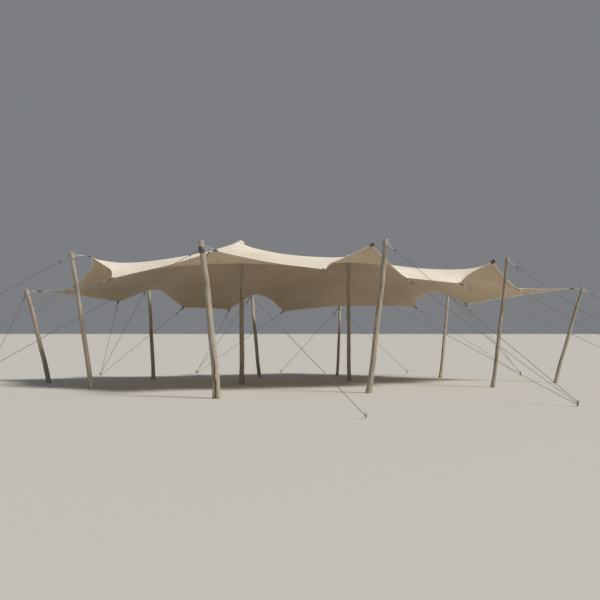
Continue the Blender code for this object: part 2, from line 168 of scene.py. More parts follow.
def noise(tree, vector, scale, detail=3.0, roughness=0.5):
    feeds = {"Vector": vector, "Scale": scale, "Detail": detail, "Roughness": roughness}
    return addNode(tree, "ShaderNodeTexNoise", feeds).outputs["Fac"]


def blendColours(tree, share, first, second, mode="MIX"):
    node = addNode(tree, "ShaderNodeMix", data_type="RGBA", blend_type=mode)
    for socket, value in ((node.inputs[0], share), (node.inputs[6], first), (node.inputs[7], second)):
        if isinstance(value, bpy.types.NodeSocket):
            tree.links.new(value, socket)
        elif socket == node.inputs[0]:
            socket.default_value = value
        else:
            socket.default_value = (*value, 1.0)
    return node.outputs[2]


def tint(tree, colour, factor):
    return blendColours(tree, 1.0, colour, factor, "MULTIPLY")


def readMark(tree, name, output="Fac"):  # an attribute of the mesh, in a material
    return addNode(tree, "ShaderNodeAttribute", attribute_name=name).outputs[output]


def storeMark(tree, geometry, name, value, sort="FLOAT"):
    feeds = {"Geometry": geometry, "Name": name, "Value": value}
    return addNode(tree, "GeometryNodeStoreNamedAttribute", feeds, data_type=sort).outputs[0]


def findMark(tree, name, sort="FLOAT"):
    return addNode(tree, "GeometryNodeInputNamedAttribute", {"Name": name}, data_type=sort).outputs[0]


def addGroup(name, inputs, outputs, kind="ShaderNodeTree"):
    tree = bpy.data.node_groups.new(name, kind)
    for label, sort, *value in inputs:
        socket = tree.interface.new_socket(label, in_out="INPUT", socket_type="NodeSocket" + sort)
        if value:
            socket.default_value = value[0]
    for label, sort in outputs:
        tree.interface.new_socket(label, in_out="OUTPUT", socket_type="NodeSocket" + sort)
    return tree, tree.nodes.new("NodeGroupInput").outputs, tree.nodes.new("NodeGroupOutput").inputs


def useGroup(tree, group, **feeds):
    node = tree.nodes.new("ShaderNodeGroup")
    node.node_tree = group
    for key, value in feeds.items():
        if isinstance(value, bpy.types.NodeSocket):
            tree.links.new(value, node.inputs[key])
        else:
            node.inputs[key].default_value = value
    return node.outputs


def bump(tree, height, distance, strength=1.0, normal=None):
    feeds = {"Height": height, "Distance": distance, "Strength": strength}
    if normal:
        feeds["Normal"] = normal
    return addNode(tree, "ShaderNodeBump", feeds).outputs["Normal"]


def addMaterial(name, **constants):
    material = bpy.data.materials.new(name)
    material.use_nodes = True
    shader = material.node_tree.nodes["Principled BSDF"]
    for key, value in constants.items():
        shader.inputs[key.replace("_", " ")].default_value = value
    return material, material.node_tree, shader.inputs


def addPiece(name, corners, faces, materials, sharp=40.0):
    mesh = bpy.data.meshes.new(name)
    mesh.from_pydata([tuple(corner) for corner in corners], [], faces)
    work = bmesh.new()
    work.from_mesh(mesh)
    bmesh.ops.recalc_face_normals(work, faces=work.faces)
    work.to_mesh(mesh)
    work.free()
    mesh.shade_smooth()
    mesh.set_sharp_from_angle(angle=math.radians(sharp))
    for material in materials:
        mesh.materials.append(material)
    thing = bpy.data.objects.new(name, mesh)
    bpy.context.collection.objects.link(thing)
    return thing


def addPaths(name, paths, radii=None):  # one open poly spline for each path
    curve = bpy.data.curves.new(name, "CURVE")
    curve.dimensions = "3D"
    for k, path in enumerate(paths):
        spline = curve.splines.new("POLY")
        spline.points.add(len(path) - 1)
        for point, place in zip(spline.points, path):
            point.co = (*place, 1.0)
        if radii:
            for point, radius in zip(spline.points, radii[k]):
                point.radius = radius
    thing = bpy.data.objects.new(name, curve)
    bpy.context.collection.objects.link(thing)
    return thing


def grow(name, source, tree, **values):  # runs a node tree on a path and keeps the plain mesh
    modifier = source.modifiers.new("grow", "NODES")
    modifier.node_group = tree
    for item in tree.interface.items_tree:
        if item.item_type == "SOCKET" and item.in_out == "INPUT" and item.name in values:
            modifier[item.identifier] = values[item.name]
    graph = bpy.context.evaluated_depsgraph_get()
    mesh = bpy.data.meshes.new_from_object(source.evaluated_get(graph))
    mesh.name = name
    bpy.data.objects.remove(source, do_unlink=True)
    thing = bpy.data.objects.new(name, mesh)
    bpy.context.collection.objects.link(thing)
    return thing


def finishPiece(piece, slot, *nodes):
    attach(piece, "root")
    if nodes:
        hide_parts(*nodes)
    return piece


# Patterns that several finishes share.

weaveGroup, given, out = addGroup(
    "weave", [("Vector", "Vector"), ("Pitch", "Float", 0.0016)], [("Height", "Float")]
)
tree = weaveGroup
waves = maths(tree, "DIVIDE", 2.0 * math.pi, given["Pitch"])
threads = separate(tree, scaled(tree, given["Vector"], waves))
crossing = maths(tree, "MULTIPLY", maths(tree, "SINE", threads["X"]), maths(tree, "SINE", threads["Y"]))
tree.links.new(maths(tree, "MULTIPLY_ADD", crossing, 0.5, 0.5), out["Height"])

weatherGroup, given, out = addGroup(
    "weathering", [("Vector", "Vector"), ("Scale", "Float", 1.0)], [("Mask", "Float"), ("Speckle", "Float")]
)
tree = weatherGroup
broad = noise(tree, given["Vector"], given["Scale"], 4.0, 0.62)
tree.links.new(remap(tree, broad, 0.38, 0.68, kind="SMOOTHSTEP"), out["Mask"])
fineScale = maths(tree, "MULTIPLY", given["Scale"], 28.0)
tree.links.new(noise(tree, given["Vector"], fineScale, 3.0, 0.7), out["Speckle"])

tensionGroup, given, out = addGroup(
    "tension", [("Fan", "Vector"), ("Near", "Float", 0.0)], [("Height", "Float")]
)
tree = tensionGroup
folds = noise(tree, given["Fan"], 3.4, 2.0, 0.55)
tree.links.new(maths(tree, "MULTIPLY", folds, given["Near"]), out["Height"])

grainGroup, given, out = addGroup(
    "timber_grain", [("Vector", "Vector")], [("Grain", "Float"), ("Crack", "Float"), ("Patch", "Float")]
)
tree = grainGroup
grainLook = {  # squeeze along the pole, scale, detail and roughness of each noise
    "Grain": (0.06, 95.0, 4.0, 0.62),
    "Crack": (0.035, 42.0, 3.0, 0.5),
    "Patch": (0.30, 7.0, 3.0, 0.5),
}
for label, (squeeze, *values) in grainLook.items():
    pattern = noise(tree, squeezed(tree, given["Vector"], squeeze), *values)
    if label == "Crack":
        pattern = remap(tree, pattern, 0.635, 0.70, kind="SMOOTHSTEP")
    tree.links.new(pattern, out[label])

# Finishes.

clothLook = {
    "topClean": (0.80, 0.735, 0.615),
    "topDusty": (0.70, 0.625, 0.500),
    # the underside is the top's fabric painted darker and warmer as painted shade; its dusty colour adds
    # real dust on top of that
    "underCleanPaintedShade": (0.62, 0.495, 0.350),
    "underDustyPaintedShade": (0.535, 0.425, 0.295),
    "weavePitch": 0.0017,
}


def clothFinish(name, clean, dusty, roughness):
    material, tree, shader = addMaterial(name, Sheen_Weight=0.12, Sheen_Roughness=0.5)
    flat = addNode(tree, "ShaderNodeUVMap", uv_map="flat").outputs["UV"]
    place = addNode(tree, "ShaderNodeTexCoord").outputs["Object"]
    weave = useGroup(tree, weaveGroup, Vector=flat, Pitch=clothLook["weavePitch"])["Height"]
    weather = useGroup(tree, weatherGroup, Vector=place, Scale=0.55)
    # clean and dusty are the fabric's colours, with real dust where weathered; for the underside both also
    # hold painted shade
    colour = blendColours(tree, weather["Mask"], clean, dusty)
    speckle = remap(tree, weather["Speckle"], 0.3, 0.7, 0.95, 1.03)
    tree.links.new(tint(tree, colour, speckle), shader["Base Color"])
    tree.links.new(remap(tree, weave, 0.0, 1.0, roughness - 0.06, roughness + 0.05), shader["Roughness"])
    fan, near = readMark(tree, "fan", "Vector"), readMark(tree, "near")
    folds = useGroup(tree, tensionGroup, Fan=fan, Near=near)["Height"]
    creased = bump(tree, folds, 0.030, 0.55)
    tree.links.new(bump(tree, weave, 0.0004, 0.5, creased), shader["Normal"])
    return material


clothTop = clothFinish("cloth_top", clothLook["topClean"], clothLook["topDusty"], 0.80)
# the underside finish: painted shade, the same fabric in darker colours
clothUnderPaintedShade = clothFinish("cloth_underside_painted_shade", clothLook["underCleanPaintedShade"], clothLook["underDustyPaintedShade"], 0.86)


def trimFinish(name, colour, worn, pitch, roughness):  # cloth bands and webbing, on object coordinates
    material, tree, shader = addMaterial(name, Sheen_Weight=0.15)
    place = addNode(tree, "ShaderNodeTexCoord").outputs["Object"]
    weave = useGroup(tree, weaveGroup, Vector=place, Pitch=pitch)["Height"]
    weather = useGroup(tree, weatherGroup, Vector=place, Scale=2.4)
    colours = blendColours(tree, weather["Mask"], colour, worn)
    wear = remap(tree, weather["Speckle"], 0.3, 0.7, roughness - 0.08, roughness + 0.08)
    tree.links.new(tint(tree, colours, remap(tree, weave, 0.0, 1.0, 0.86, 1.06)), shader["Base Color"])
    tree.links.new(wear, shader["Roughness"])
    tree.links.new(bump(tree, weave, 0.0006, 0.6), shader["Normal"])
    return material


trimLook = {  # colour, colour where worn, pitch of the weave, roughness
    # the hem band: the fabric's colour with real wear, painted a little lighter as a painted highlight
    # along the rim
    "cloth_hem_painted_highlight": ((0.84, 0.775, 0.655), (0.74, 0.665, 0.54), 0.0022, 0.78),
    "cloth_seam": ((0.77, 0.705, 0.585), (0.69, 0.615, 0.49), 0.0022, 0.80),
    # the seams' under copy: the seam painted dark as painted shade, in the underside's dusty colour
    "cloth_seam_under_painted_shade": ((0.535, 0.425, 0.295), (0.535, 0.425, 0.295), 0.0022, 0.86),
    "cloth_pad": ((0.36, 0.305, 0.225), (0.30, 0.25, 0.18), 0.0025, 0.82),
    "webbing": ((0.085, 0.075, 0.058), (0.15, 0.13, 0.10), 0.0030, 0.70),
    "strap": ((0.40, 0.375, 0.33), (0.32, 0.295, 0.25), 0.0030, 0.72),
    "thread": ((0.62, 0.545, 0.43), (0.52, 0.45, 0.35), 0.0010, 0.60),
}
trims = {name: trimFinish(name, *values) for name, values in trimLook.items()}


def ropeFinish(name, colour, worn):
    material, tree, shader = addMaterial(name, Sheen_Weight=0.2)
    place = addNode(tree, "ShaderNodeTexCoord").outputs["Object"]
    weather = useGroup(tree, weatherGroup, Vector=place, Scale=3.0)
    fibres = noise(tree, place, 900.0, 2.0, 0.6)
    colours = blendColours(tree, weather["Mask"], colour, worn)
    tree.links.new(tint(tree, colours, remap(tree, fibres, 0.3, 0.7, 0.80, 1.12)), shader["Base Color"])
    tree.links.new(remap(tree, weather["Speckle"], 0.3, 0.7, 0.62, 0.82), shader["Roughness"])
    tree.links.new(bump(tree, fibres, 0.0008, 0.5), shader["Normal"])
    return material


ropeLook = {  # colour, colour where worn
    "rope_grey": ((0.145, 0.135, 0.120), (0.235, 0.220, 0.195)),
    "rope_brown": ((0.20, 0.165, 0.125), (0.27, 0.23, 0.175)),
    "rope_pale": ((0.60, 0.575, 0.53), (0.46, 0.43, 0.38)),
}
darkRope, brownRope, paleRope = [ropeFinish(name, *values) for name, values in ropeLook.items()]

timberLook = {
    "bare": (0.47, 0.40, 0.30),
    "grey": (0.335, 0.305, 0.262),
    "brown": (0.235, 0.178, 0.125),
    "lichen": (0.33, 0.335, 0.225),
    "crack": (0.060, 0.045, 0.033),
}
timberFinish, tree, shader = addMaterial("timber", Specular_IOR_Level=0.3)
grainPlace = readMark(tree, "grain", "Vector")
grain = useGroup(tree, grainGroup, Vector=grainPlace)
weather = useGroup(tree, weatherGroup, Vector=grainPlace, Scale=2.2)
streaks = remap(tree, grain["Grain"], 0.30, 0.70)
colour = blendColours(tree, streaks, timberLook["grey"], timberLook["bare"])
patches = remap(tree, grain["Patch"], 0.52, 0.66, 0.0, 0.55)
colour = blendColours(tree, patches, colour, timberLook["brown"])
nearGround = remap(tree, readMark(tree, "height"), 0.9, 0.0)
lichen = maths(tree, "MULTIPLY", weather["Mask"], remap(tree, nearGround, 0.0, 1.0, 0.18, 0.60))
colour = blendColours(tree, lichen, colour, timberLook["lichen"])
colour = tint(tree, colour, remap(tree, readMark(tree, "shade"), 0.0, 1.0, 0.78, 1.22))
dark = maths(tree, "MAXIMUM", grain["Crack"], readMark(tree, "split"))
dark = maths(tree, "MAXIMUM", dark, maths(tree, "MULTIPLY", readMark(tree, "knot"), 0.8))
tree.links.new(blendColours(tree, dark, colour, timberLook["crack"]), shader["Base Color"])
tree.links.new(remap(tree, grain["Grain"], 0.3, 0.7, 0.84, 0.66), shader["Roughness"])
sunk = bump(tree, maths(tree, "SUBTRACT", 1.0, grain["Crack"]), 0.004, 0.8)
tree.links.new(bump(tree, grain["Grain"], 0.0030, 0.7, sunk), shader["Normal"])


def steelFinish(name, colour, rust, roughness, metal):
    material, tree, shader = addMaterial(name, Metallic=metal)
    place = addNode(tree, "ShaderNodeTexCoord").outputs["Object"]
    weather = useGroup(tree, weatherGroup, Vector=place, Scale=16.0)
    stained = remap(tree, weather["Mask"], 0.55, 1.0, 0.0, 0.6)
    tree.links.new(blendColours(tree, stained, colour, rust), shader["Base Color"])
    wear = remap(tree, weather["Speckle"], 0.3, 0.7, roughness - 0.1, roughness + 0.15)
    tree.links.new(wear, shader["Roughness"])
    tree.links.new(bump(tree, weather["Speckle"], 0.0006, 0.4), shader["Normal"])
    return material


stakeSteel = steelFinish("steel_stake", (0.66, 0.65, 0.62), (0.34, 0.22, 0.14), 0.50, 0.35)
ringSteel = steelFinish("steel_ring", (0.66, 0.66, 0.65), (0.34, 0.28, 0.22), 0.30, 0.9)
print("finishes: made")

# Node trees for what follows a path.


def geometryTree(name, inputs):
    sockets = [("Geometry", "Geometry"), *inputs, ("Finish", "Material")]
    return addGroup(name, sockets, [("Geometry", "Geometry")], "GeometryNodeTree")


def closeTree(tree, geometry, given, out):
    smooth = addNode(tree, "GeometryNodeSetShadeSmooth", {"Geometry": geometry, "Shade Smooth": True})
    whole = addNode(tree, "GeometryNodeRealizeInstances", {"Geometry": smooth.outputs[0]})
    feeds = {"Geometry": whole.outputs[0], "Material": given["Finish"]}
    tree.links.new(addNode(tree, "GeometryNodeSetMaterial", feeds).outputs[0], out["Geometry"])


def sweep(tree, path, outline, **more):
    feeds = {"Curve": path, "Profile Curve": outline, "Fill Caps": True, **more}
    return addNode(tree, "GeometryNodeCurveToMesh", feeds).outputs[0]


# A rope of three strands: a three-lobed outline swept along the path and turned once in each lay length.
ropeTree, given, out = geometryTree(
    "rope_strands", [("Radius", "Float", 0.007), ("Lay", "Float", 0.06), ("Steps", "Float", 6.0)]
)
tree = ropeTree
step = maths(tree, "DIVIDE", given["Lay"], given["Steps"])
feeds = {"Curve": given["Geometry"], "Length": step}
path = addNode(tree, "GeometryNodeResampleCurve", feeds, mode="LENGTH").outputs[0]
along = addNode(tree, "GeometryNodeSplineParameter").outputs["Length"]
turn = maths(tree, "DIVIDE", maths(tree, "MULTIPLY", along, 2.0 * math.pi), given["Lay"])
twisted = addNode(tree, "GeometryNodeSetCurveTilt", {"Curve": path, "Tilt": turn}).outputs[0]
feeds = {"Resolution": 9, "Radius": given["Radius"]}
ring = addNode(tree, "GeometryNodeCurvePrimitiveCircle", feeds).outputs[0]
around = addNode(tree, "GeometryNodeSplineParameter").outputs["Factor"]
lobes = maths(tree, "COSINE", maths(tree, "MULTIPLY", around, 6.0 * math.pi))
swell = maths(tree, "MULTIPLY_ADD", lobes, 0.16, 0.90)
lobed = scaled(tree, addNode(tree, "GeometryNodeInputPosition").outputs[0], swell)
outline = addNode(tree, "GeometryNodeSetPosition", {"Geometry": ring, "Position": lobed}).outputs[0]
closeTree(tree, sweep(tree, twisted, outline), given, out)

# Stitches: small beads laid end to end along the path.
stitchTree, given, out = geometryTree(
    "stitches", [("Pitch", "Float", 0.012), ("Length", "Float", 0.008), ("Radius", "Float", 0.0011)]
)
tree = stitchTree
feeds = {"Curve": given["Geometry"], "Length": given["Pitch"]}
path = addNode(tree, "GeometryNodeResampleCurve", feeds, mode="LENGTH").outputs[0]
heading = addNode(tree, "GeometryNodeInputTangent").outputs[0]
turned = addNode(tree, "FunctionNodeAlignRotationToVector", {"Vector": heading}, axis="Z").outputs[0]
bead = addNode(tree, "GeometryNodeMeshUVSphere", {"Segments": 4, "Rings": 2, "Radius": 1.0}).outputs[0]
size = combine(tree, given["Radius"], given["Radius"], maths(tree, "MULTIPLY", given["Length"], 0.5))
feeds = {"Points": path, "Instance": bead, "Rotation": turned, "Scale": size}
closeTree(tree, addNode(tree, "GeometryNodeInstanceOnPoints", feeds).outputs[0], given, out)

# A debarked pole: a round outline swept up the path, with lumps, knots and a split from the foot.
timberTree, given, out = geometryTree(
    "timber_pole",
    [
        ("Sides", "Int", 64),
        ("Lumps", "Float", 0.006),
        ("Knots", "Float", 0.010),
        ("Seed", "Float", 0.0),
        ("Shade", "Float", 0.5),
        ("Split depth", "Float", 0.008),
        ("Split height", "Float", 0.8),
        ("Split side", "Float", 0.0),
        ("Split width", "Float", 0.16),
        ("Calm above", "Float", 99.0),
    ],
)
tree = timberTree
length = addNode(tree, "GeometryNodeSplineParameter").outputs["Length"]
measured = storeMark(tree, given["Geometry"], "height", length)
feeds = {"Resolution": given["Sides"], "Radius": 1.0}
circle = addNode(tree, "GeometryNodeCurvePrimitiveCircle", feeds).outputs[0]
around = addNode(tree, "GeometryNodeSplineParameter").outputs["Factor"]
turns = maths(tree, "MULTIPLY", around, 2.0 * math.pi)
spread = combine(tree, maths(tree, "COSINE", turns), maths(tree, "SINE", turns))
marked = storeMark(tree, circle, "round", spread, "FLOAT_VECTOR")
thickness = addNode(tree, "GeometryNodeInputRadius").outputs[0]
pole = sweep(tree, measured, marked, Scale=thickness)
height = findMark(tree, "height")
roundPlace = findMark(tree, "round", "FLOAT_VECTOR")
roundParts = separate(tree, roundPlace)
lift = combine(tree, z=maths(tree, "ADD", height, given["Seed"]))
grainAt = vectorMaths(tree, "ADD", scaled(tree, roundPlace, 0.07), lift)
pole = storeMark(tree, pole, "grain", grainAt, "FLOAT_VECTOR")
pole = storeMark(tree, pole, "shade", given["Shade"])
angle = maths(tree, "ARCTAN2", roundParts["Y"], roundParts["X"])
wander = remap(tree, noise(tree, lift, 2.6, 1.0), 0.0, 1.0, -0.9, 0.9)
offSplit = maths(tree, "SUBTRACT", maths(tree, "SUBTRACT", angle, given["Split side"]), wander)
climbed = maths(tree, "DIVIDE", height, given["Split height"])
splitWidth = maths(tree, "MULTIPLY", given["Split width"], remap(tree, climbed, 0.0, 1.0, 1.0, 0.35))
offShare = maths(tree, "DIVIDE", maths(tree, "ABSOLUTE", offSplit), splitWidth)
narrow = maths(tree, "SUBTRACT", 1.0, maths(tree, "SMOOTH_MIN", offShare, 1.0, 0.1))
reach = remap(tree, climbed, 0.55, 1.0, 1.0, 0.0, "SMOOTHSTEP")
splitHere = maths(tree, "MULTIPLY", maths(tree, "MAXIMUM", narrow, 0.0), reach)
pole = storeMark(tree, pole, "split", splitHere)
feeds = {"Vector": squeezed(tree, grainAt, 0.45), "Scale": 4.4, "Randomness": 0.9}
knotCells = addNode(tree, "ShaderNodeTexVoronoi", feeds).outputs["Distance"]
knotHere = remap(tree, knotCells, 0.17, 0.04, 0.0, 1.0, "SMOOTHSTEP")
knotCore = remap(tree, knotCells, 0.065, 0.02, 0.0, 1.0, "SMOOTHSTEP")
pole = storeMark(tree, pole, "knot", knotCore)
lumpy = noise(tree, squeezed(tree, grainAt, 0.35), 11.0, 3.0, 0.55)
stick = maths(tree, "MULTIPLY", remap(tree, lumpy, 0.25, 0.75, -1.0, 1.0), given["Lumps"])
stick = maths(tree, "MULTIPLY_ADD", knotHere, given["Knots"], stick)
calm = remap(tree, maths(tree, "SUBTRACT", height, given["Calm above"]), -0.3, 0.0, 1.0, 0.0)
stick = maths(tree, "MULTIPLY", stick, calm)
stick = maths(tree, "SUBTRACT", stick, maths(tree, "MULTIPLY", splitHere, given["Split depth"]))
pushed = scaled(tree, addNode(tree, "GeometryNodeInputNormal").outputs[0], stick)
pole = addNode(tree, "GeometryNodeSetPosition", {"Geometry": pole, "Offset": pushed}).outputs[0]
where = separate(tree, addNode(tree, "GeometryNodeInputPosition").outputs[0])
level = combine(tree, where["X"], where["Y"], maths(tree, "MAXIMUM", where["Z"], 0.0))
stood = addNode(tree, "GeometryNodeSetPosition", {"Geometry": pole, "Position": level}).outputs[0]
closeTree(tree, stood, given, out)
print("node trees: made")

# The cloth: a sprung net over its tips, ties and king poles, then drawn out fine.

hem = {  # from one held point to the next, cells between them, pull of the hem
    "front": (
        ("left_corner", "front_a", 3, 38.0),
        ("front_a", "front_left", 13, 190.0),
        ("front_left", "front_b", 10, 75.0),
        ("front_b", "front_right", 4, 70.0),
        ("front_right", "front_c", 4, 43.0),
        ("front_c", "front_d", 6, 520.0),
        ("front_d", "right_corner", 4, 11.0),
    ),
    "back": (
        ("left_side", "back_a", 6, 36.0),
        ("back_a", "back_left", 3, 14.0),
        ("back_left", "back_b", 2, 28.0),
        ("back_b", "back_c", 4, 70.0),
        ("back_c", "back_mid_left", 3, 24.0),
        ("back_mid_left", "back_d", 2, 2.0),
        ("back_d", "back_mid_right", 5, 160.0),
        ("back_mid_right", "back_e", 6, 320.0),
        ("back_e", "back_right", 3, 6.5),
        ("back_right", "back_f", 2, 16.0),
        ("back_f", "right_side", 8, 65.0),
    ),
    "left": (("left_corner", "left", 9, 500.0), ("left", "left_side", 11, 33.0)),
    "right": (("right_corner", "right", 8, 610.0), ("right", "right_side", 12, 28.0)),
}
columns = 1 + sum(span[2] for span in hem["front"])
rows = 1 + sum(span[2] for span in hem["left"])
ridges = (  # from, to, and the pull it adds at each end
    ("left_corner", "left_king", 150.0, 140.0),
    ("left_king", "right_king", 1.7, 1.9),
    ("right_corner", "right_king", 12.0, 230.0),
    ("left_king", "left_side", 2.5, 2.0),
    ("right_king", "right_side", 2.0, 1.9),
    ("left_king", "back_left", 1.8, 1.9),
    ("right_king", "back_right", 9.0, 14.0),
    ("left_king", "back_mid_left", 3.0, 5.0),
    ("right_king", "back_mid_right", 3.5, 4.0),
    ("left_king", "front_right", 0.8, 0.8),
    ("front_a", "front_b", 90.0, 400.0),
    ("front_b", "front_c", 6.0, 6.5),
)
peakPulls = {"left_king": 2.0, "right_king": 1.3}
clothSize = {
    "diagonalShare": 0.5,
    "ridgeWidth": 0.4,
    "peakReach": 0.15,
    "hemWeight": 0.14,
    "finer": 7,
    "thickness": 0.0016,
    "stretch": 1.10,
    "flatDepth": 7.6,
    "creaseReach": 0.85,
    "softBesideHem": 0.45,
    "softBesidePeak": 0.5,
    "capPad": 0.045,
    "capReach": 0.34,
    "capSweeps": 6,
}


def heldPoint(name):
    if name in kingPoles:
        return np.array(kingPoles[name][1])
    return np.array(tips[name] if name in tips else ties[name][0])


def hemPlace(side, step):
    if side in ("front", "back"):
        return step, 0 if side == "front" else rows - 1
    return 0 if side == "left" else columns - 1, step


def readHem():
    straight, held, pulls = {}, {}, {}
    for side, spans in hem.items():
        step = 0
        for start, end, cells, pull in spans:
            a, b = heldPoint(start), heldPoint(end)
            for k in range(cells):
                straight[hemPlace(side, step + k)] = a + (b - a) * k / cells
                pulls[hemPlace(side, step + k), hemPlace(side, step + k + 1)] = pull
            held[hemPlace(side, step)] = a
            held[hemPlace(side, step + cells)] = b
            step += cells
    return {**straight, **held}, held, pulls


def netLinks():
    links = []
    for column in range(columns):
        for row in range(rows):
            for start, end, share in (
                ((column, row), (column + 1, row), 1.0),
                ((column, row), (column, row + 1), 1.0),
                ((column, row), (column + 1, row + 1), clothSize["diagonalShare"]),
                ((column + 1, row), (column, row + 1), clothSize["diagonalShare"]),
            ):
                if max(start[0], end[0]) < columns and max(start[1], end[1]) < rows:
                    links.append((start, end, share))
    return links


def linkPull(middle, heading, share):
    pull = 1.0
    for start, end, startPull, endPull in ridges:
        a, b = heldPoint(start)[:2], heldPoint(end)[:2]
        length = np.linalg.norm(b - a)
        along = (b - a) / length
        place = min(max((middle - a) @ along, 0.0), length)
        away = np.linalg.norm(middle - a - along * place)
        extra = startPull + (endPull - startPull) * place / length
        pull += extra * (heading @ along) ** 4 * math.exp(-((away / clothSize["ridgeWidth"]) ** 2))
    for name, extra in peakPulls.items():
        pull += extra / (np.linalg.norm(middle - heldPoint(name)[:2]) + clothSize["peakReach"])
    return pull * share


def balance(links, pulls, fixed, weighed):
    firm = np.zeros((columns * rows, columns * rows))
    for (start, end, _), pull in zip(links, pulls):
        a, b = start[0] * rows + start[1], end[0] * rows + end[1]
        firm[a, a] += pull
        firm[b, b] += pull
        firm[a, b] -= pull
        firm[b, a] -= pull
    load = np.zeros((columns * rows, 3))
    for column, row in weighed:
        load[column * rows + row, 2] = -clothSize["hemWeight"]
    for (column, row), point in fixed.items():
        place = column * rows + row
        firm[place, :] = 0.0
        firm[place, place] = 1.0
        load[place] = point
    return np.linalg.solve(firm, load).reshape(columns, rows, 3)


def netKnots():
    straight, held, hemPulls = readHem()
    links = netLinks()
    flat = balance(links, [share for _, _, share in links], straight, ())
    pulls = []
    for start, end, share in links:
        reach = flat[end][:2] - flat[start][:2]
        inside = linkPull((flat[start] + flat[end])[:2] / 2, reach / np.linalg.norm(reach), share)
        pulls.append(hemPulls.get((start, end), inside))
    peaks = {}
    for name in kingPoles:
        away = np.linalg.norm(flat[:, :, :2] - heldPoint(name)[:2], axis=2)
        peaks[tuple(int(v) for v in np.unravel_index(np.argmin(away), away.shape))] = heldPoint(name)
    return balance(links, pulls, {**held, **peaks}, straight), list(held), list(peaks)


def smoothAlong(points, soft, finer):  # curves through each line of knots; soft 0 is a sharp corner
    chords = np.diff(points, axis=0)
    reach = np.linalg.norm(chords, axis=2, keepdims=True)
    slopes = chords / reach
    flow = np.zeros_like(points)
    flow[1:-1] = (reach[:-1] * slopes[1:] + reach[1:] * slopes[:-1]) / (reach[1:] + reach[:-1])
    flow[0] = 1.5 * slopes[0] - 0.5 * flow[1]
    flow[-1] = 1.5 * slopes[-1] - 0.5 * flow[-2]
    keep = soft[:, :, None]
    leave = keep[:-1] * flow[:-1] + (1.0 - keep[:-1]) * (1.5 * slopes - 0.5 * flow[1:])
    arrive = keep[1:] * flow[1:] + (1.0 - keep[1:]) * (1.5 * slopes - 0.5 * flow[:-1])
    fine = []
    for k in range(finer):
        t = k / finer
        fine.append(
            (2 * t**3 - 3 * t**2 + 1) * points[:-1]
            + (t**3 - 2 * t**2 + t) * leave * reach
            + (3 * t**2 - 2 * t**3) * points[1:]
            + (t**3 - t**2) * arrive * reach
        )
    lines = np.stack(fine, axis=1).reshape(-1, *points.shape[1:])
    return np.concatenate((lines, points[-1:]))


def drawFine(knots, heldPlaces, peakPlaces):
    finer = clothSize["finer"]
    across, along = np.ones((columns, rows)), np.ones((columns, rows))
    for column, row in heldPlaces:
        if row in (0, rows - 1):
            across[column, row] = 0.0
            across[column, 1 if row == 0 else rows - 2] = clothSize["softBesideHem"]
        if column in (0, columns - 1):
            along[column, row] = 0.0
            along[1 if column == 0 else columns - 2, row] = clothSize["softBesideHem"]
    for column, row in peakPlaces:
        across[column, row] = along[column, row] = 0.0
        across[column, row - 1] = across[column, row + 1] = clothSize["softBesidePeak"]
        along[column - 1, row] = along[column + 1, row] = clothSize["softBesidePeak"]
    wide = smoothAlong(knots, across, finer)
    steps = np.linspace(0.0, columns - 1.0, (columns - 1) * finer + 1)
    alongFine = np.stack([np.interp(steps, np.arange(columns), along[:, row]) for row in range(rows)])
    return smoothAlong(wide.transpose(1, 0, 2), alongFine, finer).transpose(1, 0, 2)


def clothNormals(grid):
    normals = np.cross(np.gradient(grid, axis=0), np.gradient(grid, axis=1))
    return normals / np.linalg.norm(normals, axis=2, keepdims=True)


def restOnHead(grid, name):  # the cloth's peak is rounded over the padded cap of its king pole
    capRadius = kingPoles[name][3] + clothSize["capPad"]
    centre = heldPoint(name) - np.array((0.0, 0.0, capRadius))
    away = np.linalg.norm(grid - centre, axis=2)
    near = [tuple(place) for place in np.argwhere(away < clothSize["capReach"])]
    for sweep in range(clothSize["capSweeps"]):
        eased = {}
        for i, j in near:
            share = 0.5 * max(0.0, 1.0 - np.linalg.norm(grid[i, j] - centre) / clothSize["capReach"])
            around = (grid[i - 1, j] + grid[i + 1, j] + grid[i, j - 1] + grid[i, j + 1]) / 4
            eased[i, j] = grid[i, j] * (1.0 - share) + around * share
        for place, point in eased.items():
            offset = point - centre
            distance = np.linalg.norm(offset)
            grid[place] = point if distance > capRadius else centre + offset * capRadius / distance
    return grid


knots, heldPlaces, peakPlaces = netKnots()
cloth = drawFine(knots, heldPlaces, peakPlaces)
for kingName in kingPoles:
    cloth = restOnHead(cloth, kingName)
normals = clothNormals(cloth)
wideCount, deepCount = cloth.shape[:2]
print("cloth: net balanced,", wideCount, "by", deepCount, "points")

rim = [(i, 0) for i in range(wideCount - 1)]
rim += [(wideCount - 1, j) for j in range(deepCount - 1)]
rim += [(i, deepCount - 1) for i in range(wideCount - 1, 0, -1)]
rim += [(0, j) for j in range(deepCount - 1, 0, -1)]


def flatPlaces(grid):  # metres along the cloth, so that the weave follows it
    across = np.linalg.norm(np.diff(grid, axis=0), axis=2)
    along = np.linalg.norm(np.diff(grid, axis=1), axis=2)
    u = np.concatenate((np.zeros((1, grid.shape[1])), np.cumsum(across, axis=0)))
    v = np.concatenate((np.zeros((grid.shape[0], 1)), np.cumsum(along, axis=1)), axis=1)
    return np.stack((u - u[len(u) // 2], v - v[:, v.shape[1] // 2 : v.shape[1] // 2 + 1]), axis=2)


def cellCorners(i, j):
    low = i * deepCount + j
    return low, low + deepCount, low + deepCount + 1, low + 1


